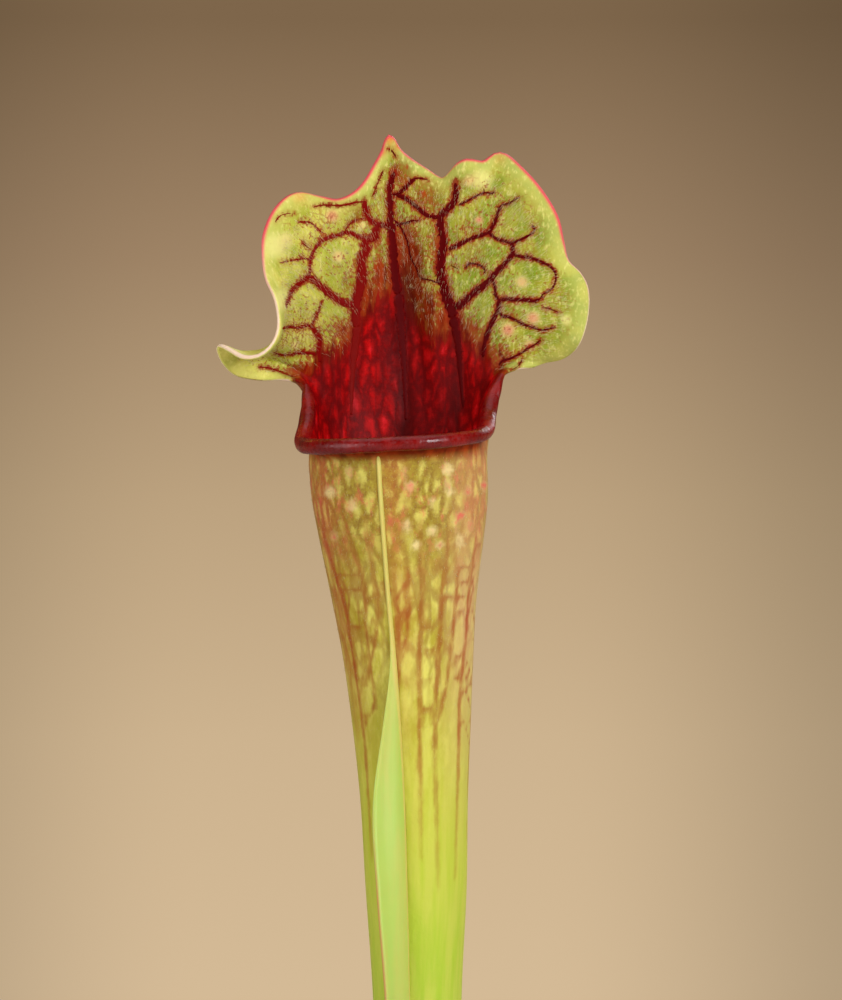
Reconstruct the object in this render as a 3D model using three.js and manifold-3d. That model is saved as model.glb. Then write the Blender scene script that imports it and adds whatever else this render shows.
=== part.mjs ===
// A trumpet pitcher plant in a plain round nursery pot, in millimetres, +Z up.
// The origin is the centre of the pot's underside. The tall pitcher's mouth faces -Y.
import * as THREE from "three";
import { mergeVertices } from "three/addons/utils/BufferGeometryUtils.js";
import Module from "manifold-3d";

const wasm = await Module();
wasm.setup();

// Driving dimensions of the pot and of what fills it
const potHeight = 88;
const potFootRadius = 38;
const potStepRadius = 48.5; // the wall's outside just under the rim band
const rimRadius = 52;
const rimBand = 9;
const potWall = 1.6;
const potSides = 40;
const drainHoles = 6;
const drainRadius = 4;
const drainRing = 26;
const soilTop = 78;
const seatGap = 0.3; // between pieces that touch

// Driving dimensions of the rhizome and of the sockets that the leaves stand in
const rhizomeCentre = new THREE.Vector3(2, -2.5, 77.5);
const rhizomeRadii = new THREE.Vector3(8.5, 15.5, 7);
const socketFloor = 76.6;
const socketSides = 18;
const bractFoot = 82;
const bractRing = 3.1; // from a leaf's axis to the bracts either side of it

// Driving dimensions of the tall pitcher
const mouthHeight = 260; // the lip's datum above the pot's underside
const leafWall = 0.8;
const wingHalf = 0.34; // half the wing's thickness
const neckBlend = 8.4; // degrees either side of the neck over which lip and hood blend
const crowding = 0.5; // how much closer the hood's columns lie at the neck and the tip

// The tube: height from the lip's datum, axis x, axis y, half width, wing width, wing lean in degrees
const tubeStations = [
  [-183, 2.5, 4.0, 3.4, 0.3, 0],
  [-172, 2.5, 4.0, 3.0, 0.3, 0],
  [-160, 2.7, 3.8, 3.2, 3.6, 11],
  [-150, 2.9, 3.6, 3.5, 5.5, 12],
  [-110, 3.0, 2.6, 4.5, 6.6, 16],
  [-72, 2.5, 1.4, 5.8, 6.0, 25],
  [-58, 2.35, 1.0, 6.6, 5.0, 44],
  [-47, 2.1, 0.8, 7.0, 4.2, 63],
  [-37, 1.75, 0.5, 7.7, 2.6, 66],
  [-28, 1.3, 0.3, 8.5, 0.7, 50],
  [-20, 0.75, 0.1, 9.5, 0.35, 10],
  [-8, 0.25, 0, 11.4, 0.3, 0],
  [-3, 0, 0, 11.6, 0.3, 0],
];

// The margin, from the seam round each side to the hood's tip. Each row is x, y, height over the lip's
// datum, the curl of the sheet's end in degrees (forward is positive), and the rolled rim's turn and length.
const marginRight = [
  [-2.6, -12.6, -0.5, 0, 215, 2.3],
  [4.0, -12.3, -0.1, 0, 215, 2.2],
  [8.9, -8.5, 0.5, 0, 210, 2.0],
  [10.8, -4.4, 1.4, 0, 195, 2.1],
  [11.2, -0.8, 3.6, 0, 155, 1.75],
  [12.0, 0.9, 6.0, 0, 95, 1.15],
  [13.3, 2.5, 8.2, 0, 40, 0.5],
  [15.3, 4.3, 9.6, 0, 25, 0.5],
  [18.6, 5.2, 10.7, 0, 20, 0.7],
  [21.3, 4.2, 11.4, 0, 10, 0.7],
  [23.1, 2.2, 13.5, 0, 0, 0.8],
  [23.9, 2.8, 16.6, 0, 0, 0.8],
  [23.9, 4.0, 19.6, 0, 5, 0.8],
  [23.1, 5.2, 21.5, -10, 10, 0.8],
  [21.5, 5.6, 23.2, -10, 10, 0.8],
  [20.8, 5.4, 25.8, 0, 0, 0.8],
  [20.0, 5.0, 29.1, 0, 0, 0.8],
  [17.8, 5.3, 32.7, 0, 5, 0.8],
  [15.3, 6.4, 35.5, -10, 10, 0.8],
  [13.3, 7.8, 37.1, -20, 20, 0.8],
  [11.4, 7.2, 35.9, -10, 20, 0.8],
  [8.8, 6.4, 36.0, -5, 15, 0.8],
  [5.8, 8.4, 33.8, -30, 35, 0.9],
  [3.1, 8.8, 35.2, -20, 30, 0.9],
  [1.0, 8.2, 37.9, -5, 10, 0.8],
  [-1.1, 7.0, 39.4, 0, 0, 0.7],
];
const marginLeft = [
  [-2.6, -12.6, -0.5, 0, 215, 2.3],
  [-6.3, -11.6, -0.6, 0, 215, 2.4],
  [-10.1, -8.5, -0.6, 0, 215, 2.5],
  [-11.7, -4.6, -0.2, 0, 205, 2.3],
  [-11.2, -1.2, 2.1, 0, 160, 1.9],
  [-11.2, 0.6, 4.8, 0, 95, 1.2],
  [-12.1, 2.4, 7.1, 0, 40, 0.5],
  [-13.8, 3.5, 7.9, 0, 25, 0.5],
  [-15.9, 4.0, 8.4, 0, 20, 0.5],
  [-18.7, 3.4, 8.7, 0, 10, 0.6],
  [-20.7, 2.0, 9.3, 10, 10, 0.8],
  [-22.2, 0.6, 10.6, 30, 0, 0.7],
  [-22.8, -1.0, 12.1, 50, 0, 0.5],
  [-21.4, -3.0, 11.5, 80, 0, 0.5],
  [-19.6, -4.6, 10.7, 115, 0, 0.7],
  [-17.7, -5.4, 10.9, 115, 0, 0.8],
  [-16.2, -5.6, 12.1, 95, 0, 0.8],
  [-15.4, -5.2, 13.8, 60, 0, 0.8],
  [-15.3, -4.0, 16.0, 30, 0, 0.8],
  [-15.7, -2.4, 18.3, 15, 0, 0.8],
  [-16.6, -0.8, 20.6, 10, 0, 0.8],
  [-17.0, 0.6, 23.4, 0, 0, 0.8],
  [-16.9, 2.0, 26.3, 0, 5, 0.8],
  [-15.8, 3.4, 29.2, 0, 10, 0.8],
  [-14.1, 5.2, 31.2, -10, 20, 0.8],
  [-12.6, 6.6, 31.8, -20, 25, 0.8],
  [-10.6, 7.2, 31.3, -20, 30, 0.8],
  [-8.1, 6.6, 30.7, -10, 30, 0.9],
  [-5.9, 6.4, 31.4, -10, 30, 0.9],
  [-4.1, 7.2, 33.2, -10, 20, 0.8],
  [-2.7, 7.8, 36.0, 0, 10, 0.8],
  [-2.1, 7.6, 38.2, 0, 0, 0.8],
  [-1.1, 7.0, 39.4, 0, 0, 0.7],
];
// Two smaller pitchers share these smaller forms.
const smallStations = [
  [-72.5, 0, -9.0, 2.5, 0.3, 0],
  [-62, 0, -9.0, 2.1, 0.3, 0],
  [-52, 0, -8.4, 2.3, 2.6, 10],
  [-36, 0, -6.2, 2.9, 4.2, 14],
  [-18, 0, -2.8, 4.2, 3.4, 14],
  [-8, 0, -0.9, 5.3, 1.2, 10],
  [-2, 0, 0, 5.9, 0.3, 0],
];
const smallRight = [
  [0, -6.6, -0.2, 0, 210, 2.2],
  [3.8, -5.4, 0.0, 0, 205, 2.2],
  [6.0, -2.2, 0.9, 0, 190, 2.1],
  [6.3, 0.8, 3.0, 0, 130, 1.5],
  [7.2, 2.9, 4.8, 0, 50, 0.7],
  [8.8, 3.0, 8.5, 0, 10, 0.5],
  [10.8, 2.5, 9.4, 0, 0, 0.6],
  [11.9, 2.6, 12.4, 0, 0, 0.6],
  [10.2, 4.0, 14.6, -10, 10, 0.6],
  [7.4, 3.0, 16.4, 0, 0, 0.6],
  [4.4, 5.2, 17.2, -10, 15, 0.6],
  [2.2, 5.0, 19.4, 0, 0, 0.6],
  [0, 4.4, 22.4, 0, 0, 0.6],
];
const smallLeft = [
  [0, -6.6, -0.2, 0, 210, 2.2],
  [-3.8, -5.4, -0.1, 0, 205, 2.2],
  [-6.1, -2.2, 0.7, 0, 190, 2.1],
  [-6.2, 0.8, 2.8, 0, 130, 1.5],
  [-7.2, 2.9, 4.7, 0, 50, 0.7],
  [-8.9, 2.9, 8.2, 0, 10, 0.5],
  [-11.2, 2.1, 8.7, 0, 0, 0.6],
  [-12.5, 1.9, 11.2, 5, 0, 0.6],
  [-10.8, 3.2, 13.4, 0, 5, 0.6],
  [-8.2, 4.6, 15.6, -10, 15, 0.6],
  [-5.2, 3.8, 16.6, 0, 5, 0.6],
  [-2.6, 5.0, 18.8, 0, 0, 0.6],
  [0, 4.4, 22.4, 0, 0, 0.6],
];

// Each leaf's lists, the row and the angle from the seam at which lip turns into hood on each side,
// its throat's oval just above the mouth, where it stands and how it is turned, how the hood fans out,
// and how finely the leaf is divided.
const tall = {
  stations: tubeStations,
  right: marginRight,
  left: marginLeft,
  neck: { right: { row: 6, angle: 108 }, left: { row: 6, angle: 86 } },
  throat: { x: 0, y: 2.6, wide: 12.4, deep: 9.9, height: 4.6 },
  base: [2.5, 4],
  mouthHeight,
  facing: 0,
  seamTurn: -12,
  shoulderDrop: 3,
  fan: new THREE.Vector3(0.4, 13, 16),
  hoodDepth: (x) => 8 - 0.011 * x * x,
  keel: 1.4,
  cavityFloor: -150,
  settling: 8,
  columns: { lip: 9, hood: 28, wing: 1 },
  rows: { tube: 13, sheet: 12, rim: 4 },
};
const small = {
  stations: smallStations,
  right: smallRight,
  left: smallLeft,
  neck: { right: { row: 4, angle: 120 }, left: { row: 4, angle: 120 } },
  throat: { x: 0, y: 1.5, wide: 6.5, deep: 4.8, height: 3.2 },
  seamTurn: 0,
  shoulderDrop: 2,
  fan: new THREE.Vector3(0, 2.2, 6.6),
  hoodDepth: (x) => 4.6 - 0.016 * x * x,
  keel: 0.7,
  cavityFloor: -52,
  settling: 7,
  columns: { lip: 6, hood: 8, wing: 1 },
  rows: { tube: 8, sheet: 7, rim: 3 },
};
const leftLeaf = { ...small, base: [-2.6, -6.4], mouthHeight: 149.2, facing: 66 };
const rightLeaf = { ...small, base: [6.6, -7.6], mouthHeight: 149.2, facing: -84 };
const spear = { base: [2.3, -12.6], height: 57, radius: 2.1, belly: 2.7 };

const radians = (degrees) => (degrees * Math.PI) / 180;
const smooth = (x) => {
  const t = Math.min(1, Math.max(0, x));
  return t * t * (3 - 2 * t);
};

// Rows of numbers at rising knots, joined by a smooth curve through each row
function curveThrough(knots, rows) {
  const last = knots.length - 1;
  const slope = (i, k) => {
    const a = Math.max(0, i - 1);
    const b = Math.min(last, i + 1);
    return (rows[b][k] - rows[a][k]) / (knots[b] - knots[a]);
  };
  return (at) => {
    let i = 0;
    while (i < last - 1 && at > knots[i + 1]) i += 1;
    const span = knots[i + 1] - knots[i];
    const t = Math.min(1, Math.max(0, (at - knots[i]) / span));
    const t2 = t * t;
    const t3 = t2 * t;
    return rows[i].map(
      (v, k) =>
        (2 * t3 - 3 * t2 + 1) * v +
        (t3 - 2 * t2 + t) * span * slope(i, k) +
        (3 * t2 - 2 * t3) * rows[i + 1][k] +
        (t3 - t2) * span * slope(i + 1, k),
    );
  };
}

// One side of the margin as a function of the angle round from the seam
function marginBy(rows, neck) {
  const run = [0];
  rows.slice(1).forEach((row, i) => {
    const [x, y, h] = rows[i];
    run.push(run[i] + Math.hypot(row[0] - x, row[1] - y, row[2] - h));
  });
  const through = curveThrough(run, rows);
  const end = run[run.length - 1];
  return (angle) => {
    if (angle <= neck.angle) return through((run[neck.row] * angle) / neck.angle);
    const u = (angle - neck.angle) / (180 - neck.angle);
    const share = u - (crowding * Math.sin(2 * Math.PI * u)) / (2 * Math.PI);
    return through(run[neck.row] + (end - run[neck.row]) * share);
  };
}

// The middle of a leaf's wall: its tube, and the sheet from the shoulder to the margin.
// Angles run round from the seam and are negative on the left.
function leafSheet(leaf) {
  const station = curveThrough(leaf.stations.map((s) => s[0]), leaf.stations);
  const right = marginBy(leaf.right, leaf.neck.right);
  const left = marginBy(leaf.left, leaf.neck.left);

  const tubeAt = (angle, height) => {
    const [, x, y, r] = station(height);
    const turn = radians(angle + leaf.seamTurn);
    const mid = r - leafWall / 2;
    return new THREE.Vector3(x + mid * Math.sin(turn), y - mid * Math.cos(turn), height);
  };

  const marginAt = (angle) => (angle < 0 ? left : right)(Math.abs(angle));
  const pastNeck = (angle) => Math.abs(angle) - (angle < 0 ? leaf.neck.left : leaf.neck.right).angle;
  const tipAt = (angle) => new THREE.Vector3(...marginAt(angle).slice(0, 3));

  // A column ends square to the margin's own run. The lip's flare and the hood's fan then lean it,
  // and its curl turns it about the margin.
  const ending = (angle) => {
    const [, y, , curl] = marginAt(angle);
    const tip = tipAt(angle);
    const step = 2;
    const along = tipAt(Math.min(180, angle + step)).sub(tipAt(Math.max(-180, angle - step))).normalize();
    const round = Math.abs(angle);
    const past = pastNeck(angle);
    const hoodShare = smooth((past + neckBlend) / (2 * neckBlend));
    const faceTurn = radians(round + (170 - round) * smooth((past + 25) / 45)) * Math.sign(angle || 1);
    const away = new THREE.Vector3(Math.sin(faceTurn), -Math.cos(faceTurn), 0);
    const square = 1 - smooth((past - 6) / 35);
    const heading = away.clone().cross(along).normalize().multiplyScalar(square);
    heading.addScaledVector(away, 0.7 * (1 - hoodShare));
    heading.addScaledVector(tip.clone().sub(leaf.fan).normalize(), 1.2 * hoodShare).normalize();
    heading.applyAxisAngle(along, -radians(curl));
    const ruffle = (y - leaf.hoodDepth(tip.x)) * hoodShare;
    return { tip, heading, curl, hoodShare, ruffle };
  };

  // A curve from one point and direction to another
  const bridge = (from, leaving, to, arriving, t) => {
    const t2 = t * t;
    const t3 = t2 * t;
    const point = from.clone().multiplyScalar(2 * t3 - 3 * t2 + 1);
    point.addScaledVector(leaving, t3 - 2 * t2 + t);
    point.addScaledVector(to, 3 * t2 - 2 * t3);
    return point.addScaledVector(arriving, t3 - t2);
  };
  const upBy = (length) => new THREE.Vector3(0, 0, length);

  // From the tube's shoulder to the margin along one column. A lip column goes straight there. A hood
  // column goes up through the throat's oval first, and its ruffle sets in towards the margin.
  const throatShare = 0.33;
  const sheetAt = (angle, t) => {
    const end = ending(angle);
    const start = tubeAt(angle, -leaf.shoulderDrop);
    const chord = start.distanceTo(end.tip);
    const lip = bridge(start, upBy(chord * 0.9), end.tip, end.heading.clone().multiplyScalar(chord * 0.7), t);
    if (end.hoodShare === 0) return lip;

    const { throat, keel } = leaf;
    const turn = radians(angle + leaf.seamTurn);
    const via = new THREE.Vector3(
      throat.x + throat.wide * Math.sin(turn),
      throat.y - throat.deep * Math.cos(turn),
      throat.height,
    );
    const flat = end.tip.clone();
    flat.y -= end.ruffle;
    const below = start.distanceTo(via);
    const above = via.distanceTo(flat);
    const reach = end.heading.clone().multiplyScalar(above * 0.85 * (1 - 0.65 * smooth(end.curl / 100)));
    const hood =
      t < throatShare
        ? bridge(start, upBy(below), via, upBy(below), t / throatShare)
        : bridge(via, upBy(above * 1.52), flat, reach, (t - throatShare) / (1 - throatShare));
    const fromMidrib = (180 - Math.abs(angle)) / 11;
    hood.y += keel * Math.exp(-fromMidrib * fromMidrib) * Math.sin(Math.PI * smooth(t));
    hood.y += end.ruffle * t ** 4;
    return lip.lerp(hood, end.hoodShare);
  };

  return { station, tubeAt, sheetAt, marginAt, pastNeck };
}

// Columns round the leaf: up the right side, down the left side, then across the wing
function leafColumns({ neck, columns: { lip, hood, wing } }) {
  const half = ({ angle }) => {
    const shares = [];
    for (let k = 0; k <= lip; k += 1) shares.push((angle * k) / lip / 180);
    for (let k = 1; k <= hood; k += 1) shares.push((angle + ((180 - angle) * k) / hood) / 180);
    return shares;
  };
  const columns = half(neck.right).map((share) => ({ share, side: 1 }));
  half(neck.left).slice(0, -1).reverse().forEach((share) => columns.push({ share, side: -1 }));
  for (let k = 1; k <= 2 * wing + 1; k += 1) columns.push({ wing: k });
  return columns;
}

// Rows up the leaf: tube by height, sheet and rim by share
function leafRows(leaf) {
  const low = leaf.stations[0][0];
  const rows = [];
  for (let k = 0; k <= leaf.rows.tube; k += 1) {
    rows.push({ kind: "tube", at: low + (-leaf.shoulderDrop - low) * (k / leaf.rows.tube) });
  }
  for (let k = 1; k <= leaf.rows.sheet; k += 1) rows.push({ kind: "sheet", at: k / leaf.rows.sheet });
  for (let k = 1; k <= leaf.rows.rim; k += 1) rows.push({ kind: "rim", at: k / leaf.rows.rim });
  return rows;
}

// A pitcher as one closed body: up the outside, over the rim and down into the hollow
function pitcherGeometry(leaf) {
  const sheet = leafSheet(leaf);
  const columns = leafColumns(leaf);
  const rows = leafRows(leaf);
  const count = columns.length;
  const lastRow = rows.length - 1;

  const angleOf = (column, row) => {
    const height = row.kind === "tube" ? row.at : -leaf.shoulderDrop;
    const root = (Math.asin(wingHalf / sheet.station(height)[3]) * 180) / Math.PI;
    if (column.wing) return -root + (root * column.wing) / (leaf.columns.wing + 1);
    return column.side * (root + (180 - root) * column.share);
  };
  const angles = rows.map((row) => columns.map((column) => angleOf(column, row)));
  const mids = rows
    .filter(({ kind }) => kind !== "rim")
    .map((row, j) =>
      angles[j].map((angle) => (row.kind === "tube" ? sheet.tubeAt : sheet.sheetAt)(angle, row.at)),
    );
  const margin = mids.length - 1;

  // The hood settles: each point between shoulder and margin moves towards the middle of its neighbours.
  const ease = angles[margin].map((angle) => 0.5 * smooth((sheet.pastNeck(angle) + 8) / 16));
  for (let pass = 0; pass < leaf.settling; pass += 1) {
    for (let j = leaf.rows.tube + 1; j < margin; j += 1) {
      mids[j] = mids[j].map((mid, i) => {
        const middle = mids[j - 1][i].clone().add(mids[j + 1][i]);
        middle.add(mids[j][(i + 1) % count]).add(mids[j][(i + count - 1) % count]);
        return mid.clone().lerp(middle.divideScalar(4), ease[i]);
      });
    }
  }

  // The rim rolls on from the margin, towards the leaf's outer side.
  const rolls = mids[margin].map((tip, i) => {
    const [, , , , turn, length] = sheet.marginAt(angles[margin][i]);
    const along = mids[margin][(i + 1) % count].clone().sub(mids[margin][(i + count - 1) % count]);
    const out = tip.clone().sub(mids[margin - 1][i]);
    out.addScaledVector(along.normalize(), -out.dot(along)).normalize();
    return { tip, out, side: along.cross(out).normalize(), turn: radians(Math.max(0.1, turn)), length };
  });
  rows
    .filter(({ kind }) => kind === "rim")
    .forEach(({ at }) => {
      mids.push(
        rolls.map(({ tip, out, side, turn, length }) => {
          const radius = length / turn;
          const point = tip.clone().addScaledVector(out, radius * Math.sin(turn * at));
          return point.addScaledVector(side, radius * (1 - Math.cos(turn * at)));
        }),
      );
    });

  const normalAt = (i, j) => {
    const around = mids[j][(i + 1) % count].clone().sub(mids[j][(i + count - 1) % count]);
    const upward = mids[Math.min(lastRow, j + 1)][i].clone().sub(mids[Math.max(0, j - 1)][i]);
    return around.cross(upward).normalize();
  };
  const skin = (offset) =>
    mids.map((ring, j) => ring.map((mid, i) => mid.clone().addScaledVector(normalAt(i, j), offset)));

  // The wing stands out from the seam and leans over to its free edge.
  const wingPoint = (column, height, plain) => {
    const [, x, y, r, width, lean] = sheet.station(height);
    const across = leaf.columns.wing;
    const fromEdge = Math.abs(column.wing - across - 1);
    const side = Math.sign(column.wing - across - 1);
    const share = side === 0 ? 1 : 1 - fromEdge / (across + 0.5);
    const outward = radians(leaf.seamTurn);
    const bend = radians(lean) * smooth(share * 1.5);
    const mean = outward - bend * 0.62;
    const normal = outward - bend;
    const point = new THREE.Vector3(
      x + r * Math.sin(outward) + width * share * Math.sin(mean) + side * wingHalf * Math.cos(normal),
      y - r * Math.cos(outward) - width * share * Math.cos(mean) + side * wingHalf * Math.sin(normal),
      height,
    );
    const fade = 2 * leaf.shoulderDrop;
    return plain.lerp(point, smooth((-1.3 * leaf.shoulderDrop - height) / fade));
  };

  const outer = skin(leafWall / 2).map((ring, j) =>
    ring.map((plain, i) =>
      columns[i].wing && rows[j].kind === "tube" ? wingPoint(columns[i], rows[j].at, plain) : plain,
    ),
  );
  const brim = mids[lastRow].map((mid, i) => {
    const ahead = mid.clone().sub(mids[lastRow - 1][i]).normalize();
    return mid.clone().addScaledVector(ahead, leafWall / 2);
  });
  const inner = skin(-leafWall / 2).filter(
    (_, j) => rows[j].kind !== "tube" || rows[j].at > leaf.cavityFloor,
  );

  // Both skins are split along the same diagonal of each cell.
  const rings = [...outer, brim, ...inner.reverse()];
  const points = rings.flat();
  const faces = [];
  for (let j = 0; j < rings.length - 1; j += 1) {
    for (let i = 0; i < count; i += 1) {
      const a = j * count + i;
      const b = j * count + ((i + 1) % count);
      const c = a + count;
      const d = b + count;
      if (j > outer.length) faces.push([a, b, c], [b, d, c]);
      else faces.push([a, b, d], [a, d, c]);
    }
  }
  const centreOf = (ring) => ring.reduce((sum, v) => sum.add(v), new THREE.Vector3()).divideScalar(count);
  const foot = points.push(centreOf(rings[0])) - 1;
  const well = points.push(centreOf(rings[rings.length - 1])) - 1;
  const top = (rings.length - 1) * count;
  for (let i = 0; i < count; i += 1) {
    const next = (i + 1) % count;
    faces.push([foot, next, i], [well, top + i, top + next]);
  }
  const geometry = new THREE.BufferGeometry().setFromPoints(points);
  geometry.setIndex(faces.flat());
  return geometry;
}

// Solids for joining and cutting
function solidOf(geometry) {
  const plain = geometry.clone();
  plain.deleteAttribute("normal");
  plain.deleteAttribute("uv");
  const merged = mergeVertices(plain, 1e-4);
  return new wasm.Manifold(
    new wasm.Mesh({
      numProp: 3,
      vertProperties: merged.attributes.position.array,
      triVerts: new Uint32Array(merged.index.array),
    }),
  );
}

function geometryOf(solid) {
  const mesh = solid.getMesh();
  const geometry = new THREE.BufferGeometry();
  geometry.setAttribute("position", new THREE.BufferAttribute(mesh.vertProperties, 3));
  geometry.setIndex(new THREE.BufferAttribute(mesh.triVerts, 1));
  return geometry;
}

function lathe(profile, sides) {
  const geometry = new THREE.LatheGeometry(profile.map(([r, z]) => new THREE.Vector2(r, z)), sides);
  return geometry.rotateX(Math.PI / 2);
}

function upright(radius, low, high, [x, y], sides) {
  const geometry = new THREE.CylinderGeometry(radius, radius, high - low, sides);
  return geometry.rotateX(Math.PI / 2).translate(x, y, (low + high) / 2);
}

// The pot's wall slants out to a step, where the rim band stands out from it.
const rimFoot = potHeight - rimBand;
const wallRadius = (z) => potFootRadius + ((potStepRadius - potFootRadius) * z) / rimFoot;

function potGeometry() {
  const edge = 0.5;
  const wall = lathe(
    [
      [0, 0],
      [potFootRadius - 1, 0],
      [wallRadius(1), 1],
      [wallRadius(rimFoot), rimFoot],
      [rimRadius - edge, rimFoot],
      [rimRadius, rimFoot + edge],
      [rimRadius, potHeight - edge],
      [rimRadius - edge, potHeight],
      [rimRadius - potWall + edge, potHeight],
      [rimRadius - potWall, potHeight - edge],
      [rimRadius - potWall, rimFoot + potWall],
      [wallRadius(rimFoot) - potWall, rimFoot + potWall],
      [wallRadius(potWall) - potWall, potWall],
      [0, potWall],
    ],
    potSides,
  );
  let pot = solidOf(wall);
  for (let k = 0; k < drainHoles; k += 1) {
    const turn = (2 * Math.PI * k) / drainHoles;
    const at = [drainRing * Math.cos(turn), drainRing * Math.sin(turn)];
    pot = pot.subtract(solidOf(upright(drainRadius, -1, potWall + 1, at, 12)));
  }
  return geometryOf(pot);
}

// A knobbly lump lying half in the soil, grown by a margin where it is used to cut
function rhizomeLump(grow) {
  const geometry = new THREE.SphereGeometry(1, 18, 12);
  const spot = geometry.attributes.position;
  for (let i = 0; i < spot.count; i += 1) {
    const v = new THREE.Vector3().fromBufferAttribute(spot, i);
    const knob = 0.05 * Math.sin(9 * v.y + 1) + 0.04 * Math.sin(7 * v.x) * Math.cos(5 * v.z + 2);
    const scaled = rhizomeRadii.clone().multiplyScalar(1 + knob).addScalar(grow);
    spot.setXYZ(i, v.x * scaled.x, v.y * scaled.y, v.z * scaled.z);
  }
  return geometry.translate(...rhizomeCentre);
}

// Small leathery scales lean out from the crown, two beside each leaf. They too grow where they cut.
function bractSolids(grow) {
  return [leftLeaf, rightLeaf, spear, tall].flatMap(({ base }, n) =>
    [0, 1].map((k) => {
      const turn = radians(70 + 83 * n + 180 * k);
      const height = 5 + ((n + k) % 3);
      const bract = new THREE.SphereGeometry(1, 8, 6).rotateX(Math.PI / 2);
      bract.scale(2.6 + grow, 1 + grow, height + grow).rotateX(radians(-14)).rotateZ(turn);
      const x = base[0] + bractRing * Math.sin(turn);
      const y = base[1] - bractRing * Math.cos(turn);
      return solidOf(bract.translate(x, y, bractFoot));
    }),
  );
}

function rhizomeGeometry() {
  let rhizome = solidOf(rhizomeLump(0));
  bractSolids(0).forEach((bract) => {
    rhizome = rhizome.add(bract);
  });
  const sockets = [
    [tall.base, tubeStations[0][3]],
    [leftLeaf.base, smallStations[0][3]],
    [rightLeaf.base, smallStations[0][3]],
    [spear.base, spear.radius],
  ];
  sockets.forEach(([base, radius]) => {
    const cut = upright(radius + seatGap + 0.1, socketFloor, 95, base, socketSides);
    rhizome = rhizome.subtract(solidOf(cut));
  });
  return geometryOf(rhizome);
}

// Peaty soil with a lumpy top fills the pot up to just under its step.
function soilGeometry() {
  const bottom = potWall + seatGap;
  const side = (z) => wallRadius(z) - potWall - seatGap;
  const profile = [[0, bottom], [side(bottom), bottom], [side(soilTop), soilTop]];
  const rings = 7;
  for (let k = rings - 1; k >= 0; k -= 1) profile.push([(side(soilTop) * k) / rings, soilTop]);
  const geometry = lathe(profile, potSides);
  const spot = geometry.attributes.position;
  for (let i = 0; i < spot.count; i += 1) {
    const [x, y, z] = [spot.getX(i), spot.getY(i), spot.getZ(i)];
    const inset = 1 - smooth((Math.hypot(x, y) - side(soilTop) + 4) / 4);
    const lumps = Math.sin(0.31 * x + 1) * Math.cos(0.27 * y) + 0.6 * Math.sin(0.62 * x - 0.53 * y);
    if (z > soilTop - 1) spot.setZ(i, z + inset * (0.6 * lumps + 0.5) - 0.6);
  }
  let soil = solidOf(geometry).subtract(solidOf(rhizomeLump(seatGap)));
  bractSolids(seatGap).forEach((bract) => {
    soil = soil.subtract(bract);
  });
  return geometryOf(soil);
}

// A young leaf that has not opened yet: a slim closed spear with the wing's keel down its front
function spearGeometry() {
  const { height, radius, belly } = spear;
  const profile = curveThrough(
    [0, 0.12, 0.45, 0.75, 0.92, 1],
    [[radius, 0], [radius * 0.8, 0], [radius, 0], [belly, 0.9], [belly * 0.7, 1.6], [0.35, 2.2]],
  );
  const sides = 12;
  const steps = 15;
  const points = [];
  const faces = [];
  for (let j = 0; j <= steps; j += 1) {
    const t = j / steps;
    const [r, shift] = profile(t);
    for (let i = 0; i < sides; i += 1) {
      const turn = (2 * Math.PI * i) / sides;
      const keel = i === 0 ? 1 + 0.5 * smooth((t - 0.2) / 0.2) : 1;
      const x = r * 0.85 * keel * Math.sin(turn);
      const y = -r * keel * Math.cos(turn) + shift;
      points.push(new THREE.Vector3(x, y, height * t));
      const a = j * sides + i;
      const b = j * sides + ((i + 1) % sides);
      if (j < steps) faces.push([a, b, b + sides], [a, b + sides, a + sides]);
    }
  }
  const foot = points.push(new THREE.Vector3(0, 0, 0)) - 1;
  const tip = points.push(new THREE.Vector3(0, 2.3, height + 0.6)) - 1;
  for (let i = 0; i < sides; i += 1) {
    const next = (i + 1) % sides;
    faces.push([foot, next, i], [tip, steps * sides + i, steps * sides + next]);
  }
  const geometry = new THREE.BufferGeometry().setFromPoints(points);
  geometry.setIndex(faces.flat());
  return geometry;
}

const plant = new THREE.Group();

function addPart(name, geometry, color, roughness) {
  const mesh = new THREE.Mesh(geometry, new THREE.MeshStandardMaterial({ color, roughness, metalness: 0 }));
  mesh.name = name;
  plant.add(mesh);
  return mesh;
}

// A pitcher is built about its mouth. It is stood on its base and turned there.
function addPitcher(name, leaf, color) {
  const [, x, y] = leaf.stations[0];
  const foot = new THREE.Vector3(x, y, 0).applyAxisAngle(new THREE.Vector3(0, 0, 1), radians(leaf.facing));
  const mesh = addPart(name, pitcherGeometry(leaf), color, 0.45);
  mesh.position.set(leaf.base[0] - foot.x, leaf.base[1] - foot.y, leaf.mouthHeight);
  mesh.rotation.z = radians(leaf.facing);
}

addPitcher("pitcher_tall", tall, 0x9aa83a);
addPitcher("pitcher_left", leftLeaf, 0x93a43c);
addPitcher("pitcher_right", rightLeaf, 0x93a43c);
const youngLeaf = addPart("young_leaf", spearGeometry(), 0xa0b04a, 0.5);
youngLeaf.position.set(spear.base[0], spear.base[1], socketFloor + seatGap + 0.1);
addPart("rhizome", rhizomeGeometry(), 0x6a3a2a, 0.8);
addPart("soil", soilGeometry(), 0x3a2a1c, 0.95);
addPart("pot", potGeometry(), 0x1d1e1f, 0.5);

export default plant;
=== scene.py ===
import bmesh
import bpy
import numpy as np
from math import radians
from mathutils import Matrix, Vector
from mathutils.bvhtree import BVHTree
from mathutils.kdtree import KDTree
from types import SimpleNamespace


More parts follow.
